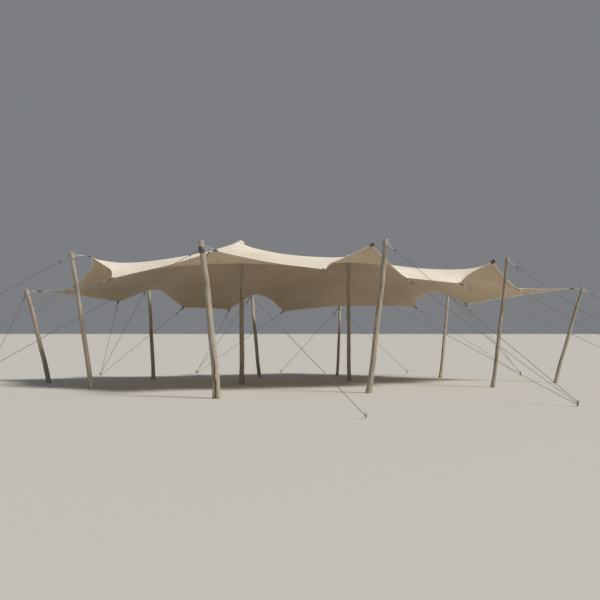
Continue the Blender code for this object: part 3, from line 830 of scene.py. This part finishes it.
def addSheet(grid):
    upper = (grid + normals * clothSize["thickness"] / 2).reshape(-1, 3)
    lower = (grid - normals * clothSize["thickness"] / 2).reshape(-1, 3)
    below = wideCount * deepCount
    faces = []
    for i in range(wideCount - 1):
        for j in range(deepCount - 1):
            a, b, c, d = cellCorners(i, j)
            faces.append((a, b, c, d))
            faces.append((below + d, below + c, below + b, below + a))
    order = [i * deepCount + j for i, j in rim]
    for here, after in zip(order, order[1:] + order[:1]):
        faces.append((after, here, below + here, below + after))
    # the under skin takes the underside finish, which is painted shade
    sheet = addPiece("canopy_sheet", np.vstack((upper, lower)), faces, [clothTop, clothUnderPaintedShade], 75.0)
    mesh = sheet.data
    for face in mesh.polygons:
        face.material_index = 1 if min(face.vertices) >= below else 0
    flat = flatPlaces(grid).reshape(-1, 2)
    chart = mesh.uv_layers.new(name="flat")
    places = np.zeros(len(mesh.loops), np.int32)
    mesh.loops.foreach_get("vertex_index", places)
    chart.data.foreach_set("uv", flat[places % below].astype(np.float32).ravel())
    points = [np.array(p) for p in tips.values()] + [np.array(p) for p, _ in ties.values()]
    points += [np.array(values[1]) for values in kingPoles.values()]
    offsets = grid.reshape(-1, 1, 3) - np.array(points)
    away = np.linalg.norm(offsets, axis=2)
    nearest = np.argmin(away, axis=1)
    picked = np.arange(len(nearest))
    least = away[picked, nearest]
    fan = offsets[picked, nearest] / np.maximum(least, 0.01)[:, None]
    near = np.exp(-((least / clothSize["creaseReach"]) ** 2))
    marks = (("fan", "FLOAT_VECTOR", "vector", fan), ("near", "FLOAT", "value", near))
    for label, sort, key, values in marks:
        both = np.concatenate((values, values)).astype(np.float32).ravel()
        mesh.attributes.new(label, sort, "POINT").data.foreach_set(key, both)
    return sheet


sheet = addSheet(cloth)
skin = BVHTree.FromPolygons(
    [Vector(point) for point in cloth.reshape(-1, 3)],
    [cellCorners(i, j) for i in range(wideCount - 1) for j in range(deepCount - 1)],
)


def inwardStep(i, j):
    di = 1 if i == 0 else -1 if i == wideCount - 1 else 0
    dj = 1 if j == 0 else -1 if j == deepCount - 1 else 0
    return di, dj


def walkIn(i, j, distance):  # the point of the cloth this far in from the rim, and its normal
    di, dj = inwardStep(i, j)
    left = distance
    while True:
        here, after = cloth[i, j], cloth[i + di, j + dj]
        step = np.linalg.norm(after - here)
        if step >= left:
            share = left / step
            tilt = normals[i, j] + (normals[i + di, j + dj] - normals[i, j]) * share
            return here + (after - here) * share, tilt
        left -= step
        i, j = i + di, j + dj


hemSize = {
    "width": 0.042,
    "edge": 0.0045,
    "layer": 0.0022,
    "stitchRows": (0.012, 0.034),
    "stitchPitch": 0.015,
    "stitchLength": 0.010,
    "stitchRadius": 0.0012,
    "stitchLift": 0.0004,
}


def loopFaces(rings, around, closed):
    faces = []
    last = rings if closed else rings - 1
    for ring in range(last):
        low, high = ring * around, (ring + 1) % rings * around
        for k in range(around):
            after = (k + 1) % around
            faces.append((low + k, low + after, high + after, high + k))
    if not closed:
        faces.append(tuple(range(around)))
        faces.append(tuple((rings - 1) * around + k for k in reversed(range(around))))
    return faces


def addHem():
    corners = []
    layer, roll = hemSize["layer"], hemSize["edge"]
    for i, j in rim:
        edge, normal = cloth[i, j], normals[i, j]
        inner, innerNormal = walkIn(i, j, hemSize["width"])
        middle, _ = walkIn(i, j, roll * 1.6)
        out = (edge - inner) / np.linalg.norm(edge - inner)
        corners += [
            inner + innerNormal * layer * 0.7,
            middle + normal * layer,
            edge + normal * roll,
            edge + out * roll * 0.75 + normal * roll * 0.7,
            edge + out * roll,
            edge + out * roll * 0.75 - normal * roll * 0.7,
            edge - normal * roll,
            middle - normal * layer,
            inner - innerNormal * layer * 0.7,
        ]
    faces = loopFaces(len(rim), len(corners) // len(rim), True)
    # the hem band's lighter colour is a painted highlight along the rim
    return addPiece("canopy_hem", corners, faces, [trims["cloth_hem_painted_highlight"]], 50.0)


def hemPath(inset, side):
    path = []
    for i, j in rim + rim[:1]:
        point, normal = walkIn(i, j, inset)
        path.append(point + normal * side * (hemSize["layer"] + hemSize["stitchLift"]))
    return path


finishPiece(addHem(), "cloth")
stitchSettings = {
    "Pitch": hemSize["stitchPitch"],
    "Length": hemSize["stitchLength"],
    "Radius": hemSize["stitchRadius"],
    "Finish": trims["thread"],
}
for sideName, side in (("top", 1.0), ("under", -1.0)):
    rowsOfStitches = addPaths("stitch_rows", [hemPath(inset, side) for inset in hemSize["stitchRows"]])
    finishPiece(grow("hem_stitches_" + sideName, rowsOfStitches, stitchTree, **stitchSettings), "cloth")
print("cloth: hem and stitches made")

seamSize = {"panels": 10, "width": 0.014, "height": 0.0006, "flatShare": 0.8}


def addSeams():  # the overlaps between the sewn panels, drawn front to back on both faces
    corners, faces, finishes = [], [], []
    for k in range(1, seamSize["panels"]):
        i = round(k * (wideCount - 1) / seamSize["panels"])
        for side in (1.0, -1.0):
            start = len(corners)
            for j in range(deepCount):
                base, normal = cloth[i, j], normals[i, j] * side
                beside = cloth[i + 1, j] - cloth[i - 1, j]
                beside = beside / np.linalg.norm(beside) * seamSize["width"] / 2
                level = beside * seamSize["flatShare"]
                lift = normal * (clothSize["thickness"] / 2 + seamSize["height"])
                corners += [base - beside, base - level + lift, base + level + lift, base + beside]
            strip = [tuple(start + v for v in face) for face in loopFaces(deepCount, 4, False)]
            faces += strip
            finishes += [0 if side > 0.0 else 1] * len(strip)
    # the under face of each seam takes the copy of the seam finish that is painted shade
    materials = [trims["cloth_seam"], trims["cloth_seam_under_painted_shade"]]
    seams = addPiece("canopy_seams", corners, faces, materials, 60.0)
    seams.data.polygons.foreach_set("material_index", np.array(finishes, np.int32))
    return seams


finishPiece(addSeams(), "cloth")


padSize = {"radius": 0.19, "open": 0.30, "rings": 6, "sides": 40, "depths": (0.0010, 0.0034)}


def addPads():  # stitched double layers under the two king poles' peaks
    rings, sides, lower = padSize["rings"], padSize["sides"], padSize["rings"] * padSize["sides"]
    down, above = Vector((0.0, 0.0, -1.0)), Vector((0.0, 0.0, 0.5))
    corners, faces = [], []
    for name in kingPoles:
        peak = Vector(kingPoles[name][1])
        start = len(corners)
        for depth in padSize["depths"]:
            for ring in range(rings):
                share = padSize["open"] + (1.0 - padSize["open"]) * ring / (rings - 1)
                reach = padSize["radius"] * share
                for k in range(sides):
                    angle = 2.0 * math.pi * k / sides
                    spot = peak + Vector((math.cos(angle) * reach, math.sin(angle) * reach, 0.0))
                    hit, normal, _, _ = skin.ray_cast(spot + above, down)
                    corners.append(hit - (normal if normal.z > 0.0 else -normal) * depth)
        for ring in range(rings):
            for k in range(sides):
                a, b = start + ring * sides + k, start + ring * sides + (k + 1) % sides
                if ring < rings - 1:
                    faces.append((a, b, b + sides, a + sides))
                    faces.append((a + sides + lower, b + sides + lower, b + lower, a + lower))
                if ring in (0, rings - 1):
                    faces.append((a, b, b + lower, a + lower))
    return addPiece("king_pads", corners, faces, [trims["cloth_pad"]], 50.0)


finishPiece(addPads(), "cloth")
finishPiece(sheet, "cloth", "canopy")

# Timber poles.

timberSize = {
    "rings": 110,
    "sides": 60,
    "lumps": 0.0050,
    "knots": 0.009,
    "neck": 0.36,
    "flare": 1.16,
    "flareShare": 0.05,
    "swayWave": 0.4,
    "seedStep": 7.3,
    "kingHeadGap": 0.003,
    "kingHeadDegrees": (0.0, 15.0, 30.0, 45.0, 60.0, 75.0, 85.0),
    "sawnEdge": ((0.012, 1.0), (0.004, 0.94), (0.0, 0.84)),
}
poleMarks = {  # lumps and tone of each pole, then the depth, height, side and half angle of its split
    "front_left": (1.3, 0.50, 0.020, 1.45, 1.91, 0.50),
    "front_right": (0.9, 0.50, 0.006, 0.60, 2.0, 0.20),
    "left_corner": (1.2, 0.40, 0.008, 0.80, -1.0, 0.20),
    "right_corner": (0.8, 0.25, 0.004, 0.50, 1.0, 0.20),
    "left_side": (1.1, 0.42, 0.007, 0.90, -0.4, 0.20),
    "right_side": (0.8, 0.40, 0.004, 0.50, 2.4, 0.20),
    "back_left": (1.0, 0.55, 0.006, 0.70, 0.6, 0.20),
    "back_mid_left": (1.1, 0.60, 0.005, 0.60, -2.0, 0.20),
    "back_mid_right": (0.9, 0.60, 0.004, 0.50, 1.4, 0.20),
    "back_right": (1.2, 0.50, 0.005, 0.60, -1.6, 0.20),
    "left_king": (1.1, 0.52, 0.008, 0.90, 1.2, 0.20),
    "right_king": (1.0, 0.48, 0.005, 0.60, -0.6, 0.20),
}


def polePath(foot, head, footRadius, headRadius, bow):
    base = Vector((*foot, 0.0))
    lean = (head - base).normalized()
    neck = head - lean * timberSize["neck"]
    sunk = lean * footRadius * timberSize["flare"] * math.hypot(lean.x, lean.y) / lean.z
    path, radii = [base - sunk], [footRadius * timberSize["flare"]]
    for k in range(timberSize["rings"] + 1):
        share = k / timberSize["rings"]
        sway = math.sin(math.pi * share) + timberSize["swayWave"] * math.sin(3.0 * math.pi * share)
        flare = 1.0 + (timberSize["flare"] - 1.0) * max(0.0, 1.0 - share / timberSize["flareShare"])
        path.append(base.lerp(neck, share) + Vector((*bow, 0.0)) * sway)
        radii.append((footRadius + (headRadius - footRadius) * share) * flare)
    for share in (0.2, 0.4, 0.6, 0.8):
        path.append(neck.lerp(head, share))
        radii.append(headRadius)
    return path, radii, lean


def addPole(name, path, radii, calmAbove=99.0):
    lumps, tone, splitDepth, splitHeight, splitSide, splitWidth = poleMarks[name]
    settings = {
        "Sides": timberSize["sides"],
        "Lumps": timberSize["lumps"] * lumps,
        "Knots": timberSize["knots"],
        "Seed": timberSize["seedStep"] * list(poleMarks).index(name),
        "Shade": tone,
        "Split depth": splitDepth,
        "Split height": splitHeight,
        "Split side": splitSide,
        "Split width": splitWidth,
        "Calm above": calmAbove,
        "Finish": timberFinish,
    }
    pole = grow("timber_" + name, addPaths("path", [path], [radii]), timberTree, **settings)
    finishPiece(pole, "timber", "pole_" + name)


for name, (foot, head, footRadius, headRadius, bow) in outerPoles.items():
    head = Vector(head)
    path, radii, lean = polePath(foot, head, footRadius, headRadius, bow)
    for below, share in timberSize["sawnEdge"]:
        path.append(head - lean * below)
        radii.append(headRadius * share)
    addPole(name, path, radii)
for name, (foot, peak, footRadius, headRadius, bow) in kingPoles.items():
    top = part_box("pole_" + name)[1].z
    centre = Vector((*peak[:2], top - headRadius - timberSize["kingHeadGap"]))
    path, radii, lean = polePath(foot, centre, footRadius, headRadius, bow)
    for degrees in timberSize["kingHeadDegrees"]:
        turn = math.radians(degrees)
        path.append(centre + lean * headRadius * math.sin(turn))
        radii.append(headRadius * math.cos(turn))
    addPole(name, path, radii, centre.z)
print("poles: made")

# Ropes, slings, straps, knots, rings and webbing.

ropeSize = {
    "guyRadius": 0.0070,
    "tieRadius": 0.0060,
    "slingRadius": 0.0085,
    "slingApart": 0.030,
    "slingStart": 0.004,
    "tieSlingRadius": 0.0045,
    "tieSlingApart": 0.010,
    "tieSlingLay": 0.045,
    "lay": 0.066,
    "stepsPerLay": 6.0,
    "turnSteps": 28,
    "seat": 0.0003,
    "headDepth": 0.085,
    "headGap": 0.0015,
    "leastTurn": 0.15,
    "secondDepth": 0.15,
    "secondRadii": 2.2,
    "secondTurnDegrees": 310.0,
    "secondTurnPitch": 0.02,
}
lashings = {  # depth of the first turn below the head, turns, drop and finish
    "front_left": (0.135, 9.0, 0.135, darkRope),
}
plainLashing = (0.125, 3.2, 0.042, paleRope)
knotSize = {  # distance from where the rope starts, radius, and length of the loose tail
    "guy": (0.28, 0.017, 0.17),
    "second": (0.32, 0.015, 0.20),
    "tie": (0.30, 0.015, 0.14),
}
stakeSize = {
    "radius": 0.014,
    "lean": 0.22,
    "turnHeight": 0.066,
    "turnStep": 0.030,
    "turnDegrees": 290.0,
    "turnPitch": 0.004,
    "tail": ((0.012, 0.001), (0.024, 0.005), (0.036, 0.011), (0.048, 0.019)),
    "tailRest": 1.3,
}
ringSize = {
    "radius": 0.030,
    "wire": 0.0045,
    "sides": 28,
    "wireSides": 10,
    "tipReach": 0.050,
    "tieReach": 0.115,
}
webbingSize = {
    "tipWidth": 0.120,
    "tieWidth": 0.042,
    "thickness": 0.0028,
    "inside": 0.080,
    "overHem": 0.0052,
    "overEdge": 0.0072,
    "overGap": 0.0070,
    "ringGap": 0.0020,
    "stitchIn": 0.008,
    "stitchBeside": 0.006,
    "stitchLift": 0.0004,
}
boxStitchSettings = {"Pitch": 0.0065, "Length": 0.005, "Radius": 0.0008, "Finish": trims["thread"]}
strapSize = {"width": 0.032, "thickness": 0.0030, "sag": 0.045, "steps": 18}
up = Vector((0.0, 0.0, 1.0))


def turnPoints(centre, axis, radius, start, end, pitch, toward):
    ahead = (toward - axis * toward.dot(axis)).normalized()
    left = axis.cross(ahead)
    steps = max(2, int(round(abs(end - start) / (2.0 * math.pi) * ropeSize["turnSteps"])))
    points = []
    for k in range(steps + 1):
        angle = start + (end - start) * k / steps
        ring = ahead * math.cos(angle) + left * math.sin(angle)
        points.append(centre + ring * radius - axis * pitch * k / steps)
    return points


def stakeTurn(stake, level, source, ropeRadius):  # the last turn round a stake, then a short cut tail
    x, y = stakes[stake]
    outward = Vector((x, y, 0.0)).normalized()
    axis = (up + outward * stakeSize["lean"]).normalized()
    centre = Vector((x, y, 0.0)) + axis * (stakeSize["turnHeight"] + stakeSize["turnStep"] * level)
    radius = stakeSize["radius"] + ropeRadius + ropeSize["seat"]
    toward = source - centre
    start = math.acos(radius / toward.length)
    end = start + math.radians(stakeSize["turnDegrees"])
    turn = turnPoints(centre, axis, radius, start, end, stakeSize["turnPitch"], toward)
    last, heading = turn[-1], (turn[-1] - turn[-2]).normalized()
    for reach, drop in stakeSize["tail"]:
        spot = last + heading * reach
        turn.append(Vector((spot.x, spot.y, max(spot.z - drop, ropeRadius * stakeSize["tailRest"]))))
    return turn


def ropeLevels():  # the steepest rope of a stake takes the highest turn
    ropes = [("guy_" + name, outerPoles[name][1], stake) for name, stake in guys.items()]
    ropes += [("second_guy_" + name, outerPoles[name][1], stake) for name, stake in secondGuys.items()]
    ropes += [("tie_" + name, point, stake) for name, (point, stake) in ties.items()]
    sources = {}
    for rope, point, stake in ropes:
        x, y = stakes[stake]
        steepness = point[2] / math.hypot(point[0] - x, point[1] - y)
        sources.setdefault(stake, []).append((steepness, rope))
    levels = {}
    for found in sources.values():
        for level, (_, rope) in enumerate(sorted(found)):
            levels[rope] = level - (len(found) - 1) / 2
    return levels


def knotPath(centre, heading, size):  # a stopper knot, round the rope's own line
    aside = heading.orthogonal().normalized()
    above = heading.cross(aside)
    steps = 48
    points = []
    for k in range(steps + 1):
        t = 2.0 * math.pi * k / steps
        reach = size * (1.0 + 0.55 * math.cos(3.0 * t))
        ring = aside * math.cos(2.0 * t) + above * math.sin(2.0 * t)
        points.append(centre + ring * reach + heading * size * 0.9 * math.sin(3.0 * t))
    return points


def tailPath(centre, aside, length):
    steps = 12
    points = []
    for k in range(steps + 1):
        s = length * k / steps
        spread = 1.0 - math.exp(-s / 0.04)
        points.append(centre + aside * 0.05 * spread - up * (s - 0.025 * spread))
    return points


def ropePiece(name, paths, radius, finish, *nodes, lay=ropeSize["lay"]):
    settings = {"Radius": radius, "Lay": lay, "Steps": ropeSize["stepsPerLay"], "Finish": finish}
    piece = grow(name, addPaths("path", paths), ropeTree, **settings)
    return finishPiece(piece, "rope", *nodes)


def ringMesh(centre, axis, radius, wire):
    sides, wireSides = ringSize["sides"], ringSize["wireSides"]
    aside = axis.orthogonal().normalized()
    above = axis.cross(aside)
    corners = []
    for k in range(sides):
        angle = 2.0 * math.pi * k / sides
        out = aside * math.cos(angle) + above * math.sin(angle)
        for m in range(wireSides):
            bend = 2.0 * math.pi * m / wireSides
            corners.append(centre + out * (radius + wire * math.cos(bend)) + axis * wire * math.sin(bend))
    return corners, loopFaces(sides, wireSides, True)


def ribbonMesh(path, across, width, thickness):
    corners = []
    for k, place in enumerate(path):
        heading = (path[min(k + 1, len(path) - 1)] - path[max(k - 1, 0)]).normalized()
        wide = (across - heading * across.dot(heading)).normalized()
        face = heading.cross(wide)
        for a, b in ((1, 1), (1, -1), (-1, -1), (-1, 1)):
            corners.append(place + wide * a * width / 2 + face * b * thickness / 2)
    return corners, loopFaces(len(path), 4, False)


levels = ropeLevels()
ringParts, tabParts, strapParts, boxStitches = [], [], [], []
rimPoints = np.array([cloth[place] for place in rim])


def addBoxStitch(start, inner, across, width):  # a crossed square of stitches on a webbing tab
    lift = webbingSize["overHem"] + webbingSize["thickness"] / 2 + webbingSize["stitchLift"]
    corners = []
    for (place, tilt), shift in ((inner[0], webbingSize["stitchIn"]), (inner[2], 0.0)):
        toward = (start - place).normalized()
        for side in (-1.0, 1.0):
            beside = across * side * (width / 2 - webbingSize["stitchBeside"])
            corners.append(place + toward * shift + tilt * lift + beside)
    a, b, c, d = corners
    boxStitches.append([a, b, d, c, a, d])
    boxStitches.append([b, c])


def hemFitting(point, goal, width, reach):  # webbing and its ring; gives where a sling starts
    start = Vector(point)
    heading = (goal - start).normalized()
    i, j = rim[int(np.argmin(np.linalg.norm(rimPoints - np.array(point), axis=1)))]
    normal = Vector(normals[i, j])
    upright = (normal - heading * normal.dot(heading)).normalized()
    across = heading.cross(upright)
    inner = []
    for share in (1.0, 0.75, 0.5, 0.25):
        place, tilt = walkIn(i, j, webbingSize["inside"] * share)
        inner.append((Vector(place), Vector(tilt).normalized()))
    bend = start + heading * reach
    middle = start.lerp(bend, 0.5)
    path = [place + tilt * webbingSize["overHem"] for place, tilt in inner]
    path += [start + upright * webbingSize["overEdge"], middle + upright * webbingSize["overGap"]]
    for degrees in range(90, -91, -30):
        turn = math.radians(degrees)
        out = heading * math.cos(turn) + upright * math.sin(turn)
        path.append(bend + out * (ringSize["wire"] + webbingSize["ringGap"]))
    path += [middle - upright * webbingSize["overGap"], start - upright * webbingSize["overEdge"]]
    path += [place - tilt * webbingSize["overHem"] for place, tilt in reversed(inner)]
    tabParts.append(ribbonMesh(path, across, width, webbingSize["thickness"]))
    ringCentre = bend + heading * ringSize["radius"]
    ringParts.append(ringMesh(ringCentre, upright, ringSize["radius"], ringSize["wire"]))
    addBoxStitch(start, inner, across, width)
    return ringCentre + heading * ringSize["radius"], heading


def headSling(centre, axis, radius, anchor, knot):  # a strand round each side of the pole's head
    toward, away = anchor - centre, knot - centre
    ahead = (toward - axis * toward.dot(axis)).normalized()
    bearing = math.atan2(away.dot(axis.cross(ahead)), away.dot(ahead)) % (2.0 * math.pi)
    paths = []
    for side, full in ((1.0, bearing), (-1.0, bearing - 2.0 * math.pi)):
        arrive = side * math.acos(min(1.0, radius / toward.length))
        leave = full - side * math.acos(min(1.0, radius / away.length))
        if side * (leave - arrive) < ropeSize["leastTurn"]:
            leave = arrive + side * ropeSize["leastTurn"]
        level = centre + axis * side * ropeSize["slingApart"]
        arc = turnPoints(level, axis, radius, arrive, leave, 0.0, toward)
        paths.append([anchor + (arc[0] - anchor).normalized() * ropeSize["slingStart"]] + arc + [knot])
    return paths


def tieSling(start, end, across):  # two strands that close up at the knot
    paths = []
    for side in (1.0, -1.0):
        apart = across * side * ropeSize["tieSlingApart"]
        closed = across * side * ropeSize["slingStart"]
        paths.append([start + apart, start.lerp(end, 0.5) + apart * 0.7, end + closed])
    return paths


def addStrap(start, end):  # a flat strap that hangs a little slack under the sling
    path = []
    for k in range(strapSize["steps"] + 1):
        share = k / strapSize["steps"]
        path.append(start.lerp(end, share) - up * strapSize["sag"] * math.sin(math.pi * share))
    flatWay = (end - start).cross(up).normalized()
    strapParts.append(ribbonMesh(path, flatWay, strapSize["width"], strapSize["thickness"]))


def poleHead(name):
    foot, head = Vector((*outerPoles[name][0], 0.0)), Vector(outerPoles[name][1])
    return head, (head - foot).normalized()


def addGuy(name, stake):
    rope, level = "guy_" + name, levels["guy_" + name]
    knotReach, knotRadius, tail = knotSize["guy"]
    head, axis = poleHead(name)
    centre = head - axis * ropeSize["headDepth"]
    radius = outerPoles[name][3] + ropeSize["slingRadius"] + ropeSize["headGap"]
    anchor, _ = hemFitting(tips[name], centre, webbingSize["tipWidth"], ringSize["tipReach"])
    goal = stakeTurn(stake, level, centre, ropeSize["guyRadius"])[0]
    knot = centre + (goal - centre).normalized() * (radius + knotReach)
    toward = anchor - centre
    aside = axis.cross((toward - axis * toward.dot(axis)).normalized())
    addStrap(centre - toward.normalized() * radius, knot)
    slings = headSling(centre, axis, radius, anchor, knot)
    ropePiece("sling_" + name, slings, ropeSize["slingRadius"], paleRope)
    turn = stakeTurn(stake, level, knot, ropeSize["guyRadius"])
    line = (turn[0] - knot).normalized()
    paths = [[knot] + turn, knotPath(knot, line, knotRadius), tailPath(knot, aside, tail)]
    ropePiece("rope_" + rope, paths, ropeSize["guyRadius"], darkRope, rope)
    depth, turns, drop, finish = lashings.get(name, plainLashing)
    wraps = turnPoints(head - axis * depth, axis, radius, 0.0, 2.0 * math.pi * turns, drop, toward)
    ropePiece("lashing_" + name, [wraps], ropeSize["slingRadius"], finish)


def addSecondGuy(name, stake):
    rope = "second_guy_" + name
    knotReach, knotRadius, tail = knotSize["second"]
    head, axis = poleHead(name)
    centre = head - axis * ropeSize["secondDepth"]
    radius = outerPoles[name][3] + ropeSize["guyRadius"] * ropeSize["secondRadii"]
    end = stakeTurn(stake, levels[rope], centre, ropeSize["guyRadius"])
    toward = end[0] - centre
    leave = -math.acos(radius / toward.length)
    start = leave - math.radians(ropeSize["secondTurnDegrees"])
    turn = turnPoints(centre, axis, radius, start, leave, ropeSize["secondTurnPitch"], toward)
    knot = turn[-1].lerp(end[0], knotReach / toward.length)
    aside = axis.cross(toward).normalized()
    paths = [turn + end, knotPath(knot, toward.normalized(), knotRadius), tailPath(knot, aside, tail)]
    ropePiece("rope_" + rope, paths, ropeSize["guyRadius"], darkRope, rope)


def addTie(name, point, stake):
    rope = "tie_" + name
    knotReach, knotRadius, tail = knotSize["tie"]
    turn = stakeTurn(stake, levels[rope], Vector(point), ropeSize["tieRadius"])
    anchor, heading = hemFitting(point, turn[0], webbingSize["tieWidth"], ringSize["tieReach"])
    knot = Vector(point) + heading * knotReach
    across = heading.cross(up).normalized()
    slings = tieSling(anchor, knot, across)
    ropePiece("sling_" + rope, slings, ropeSize["tieSlingRadius"], brownRope, lay=ropeSize["tieSlingLay"])
    paths = [[knot] + turn, knotPath(knot, heading, knotRadius), tailPath(knot, across, tail)]
    ropePiece("rope_" + rope, paths, ropeSize["tieRadius"], darkRope, rope)


for name, stake in guys.items():
    addGuy(name, stake)
for name, stake in secondGuys.items():
    addSecondGuy(name, stake)
for name, (point, stake) in ties.items():
    addTie(name, point, stake)
print("ropes: made")


def joinParts(name, parts, finish, sharp):
    corners, faces = [], []
    for places, sides in parts:
        faces += [tuple(len(corners) + v for v in face) for face in sides]
        corners += list(places)
    return addPiece(name, corners, faces, [finish], sharp)


finishPiece(joinParts("hem_webbing", tabParts, trims["webbing"], 35.0), "cloth")
finishPiece(joinParts("pole_straps", strapParts, trims["strap"], 35.0), "rope")
finishPiece(joinParts("hem_rings", ringParts, ringSteel, 60.0), "steel")
boxPaths = addPaths("box_stitches", boxStitches)
finishPiece(grow("webbing_stitches", boxPaths, stitchTree, **boxStitchSettings), "cloth")
for name in stakes:
    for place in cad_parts["stake_" + name].material_slots:
        place.material = stakeSteel
print("fittings: made")

# Floor, light and camera.

studio = {
    "floor": (0.56, 0.54, 0.50),
    "floorHalf": 300.0,
    "floorDepth": 0.001,
    "sky": (0.50, 0.52, 0.55),
    "skyStrength": 0.40,
    "sunFrom": (0.66, -0.40, 0.80),
    "sunPower": 3.4,
    "sunSpread": 14.0,
    "sunColour": (1.0, 0.965, 0.91),
}
view = {  # the focal length, the picture's width and the horizon's drop below its middle are in pixels
    "place": (0.0, -22.16, 1.6),
    "focal": 800.0,
    "width": 600.0,
    "horizonDrop": 30.0,
    "sensor": 36.0,
    "clipEnd": 2000.0,
}

half, depth = studio["floorHalf"], -studio["floorDepth"]
floorCorners = [(-half, -half, depth), (half, -half, depth), (half, half, depth), (-half, half, depth)]
floorMaterial, _, _ = addMaterial("studio_floor", Base_Color=(*studio["floor"], 1.0), Roughness=0.9)
addPiece("studio_floor", floorCorners, [(0, 1, 2, 3)], [floorMaterial])

world = bpy.data.worlds.new("studio")
bpy.context.scene.world = world
world.use_nodes = True
sky = world.node_tree.nodes["Background"].inputs
sky["Color"].default_value = (*studio["sky"], 1.0)
sky["Strength"].default_value = studio["skyStrength"]

sun = bpy.data.lights.new("key", "SUN")
sun.energy = studio["sunPower"]
sun.angle = math.radians(studio["sunSpread"])
sun.color = studio["sunColour"]
sunThing = bpy.data.objects.new("key", sun)
sunThing.rotation_euler = Vector(studio["sunFrom"]).to_track_quat("Z", "Y").to_euler()
bpy.context.collection.objects.link(sunThing)

camera = bpy.data.cameras.new("camera")
camera.lens = view["sensor"] * view["focal"] / view["width"]
camera.sensor_width = view["sensor"]
camera.clip_end = view["clipEnd"]
cameraThing = bpy.data.objects.new("camera", camera)
cameraThing.location = view["place"]
cameraThing.rotation_euler = (math.pi / 2.0 + math.atan(view["horizonDrop"] / view["focal"]), 0.0, 0.0)
bpy.context.collection.objects.link(cameraThing)
bpy.context.scene.camera = cameraThing
bpy.context.scene.view_settings.view_transform = "Standard"
print("studio: made")
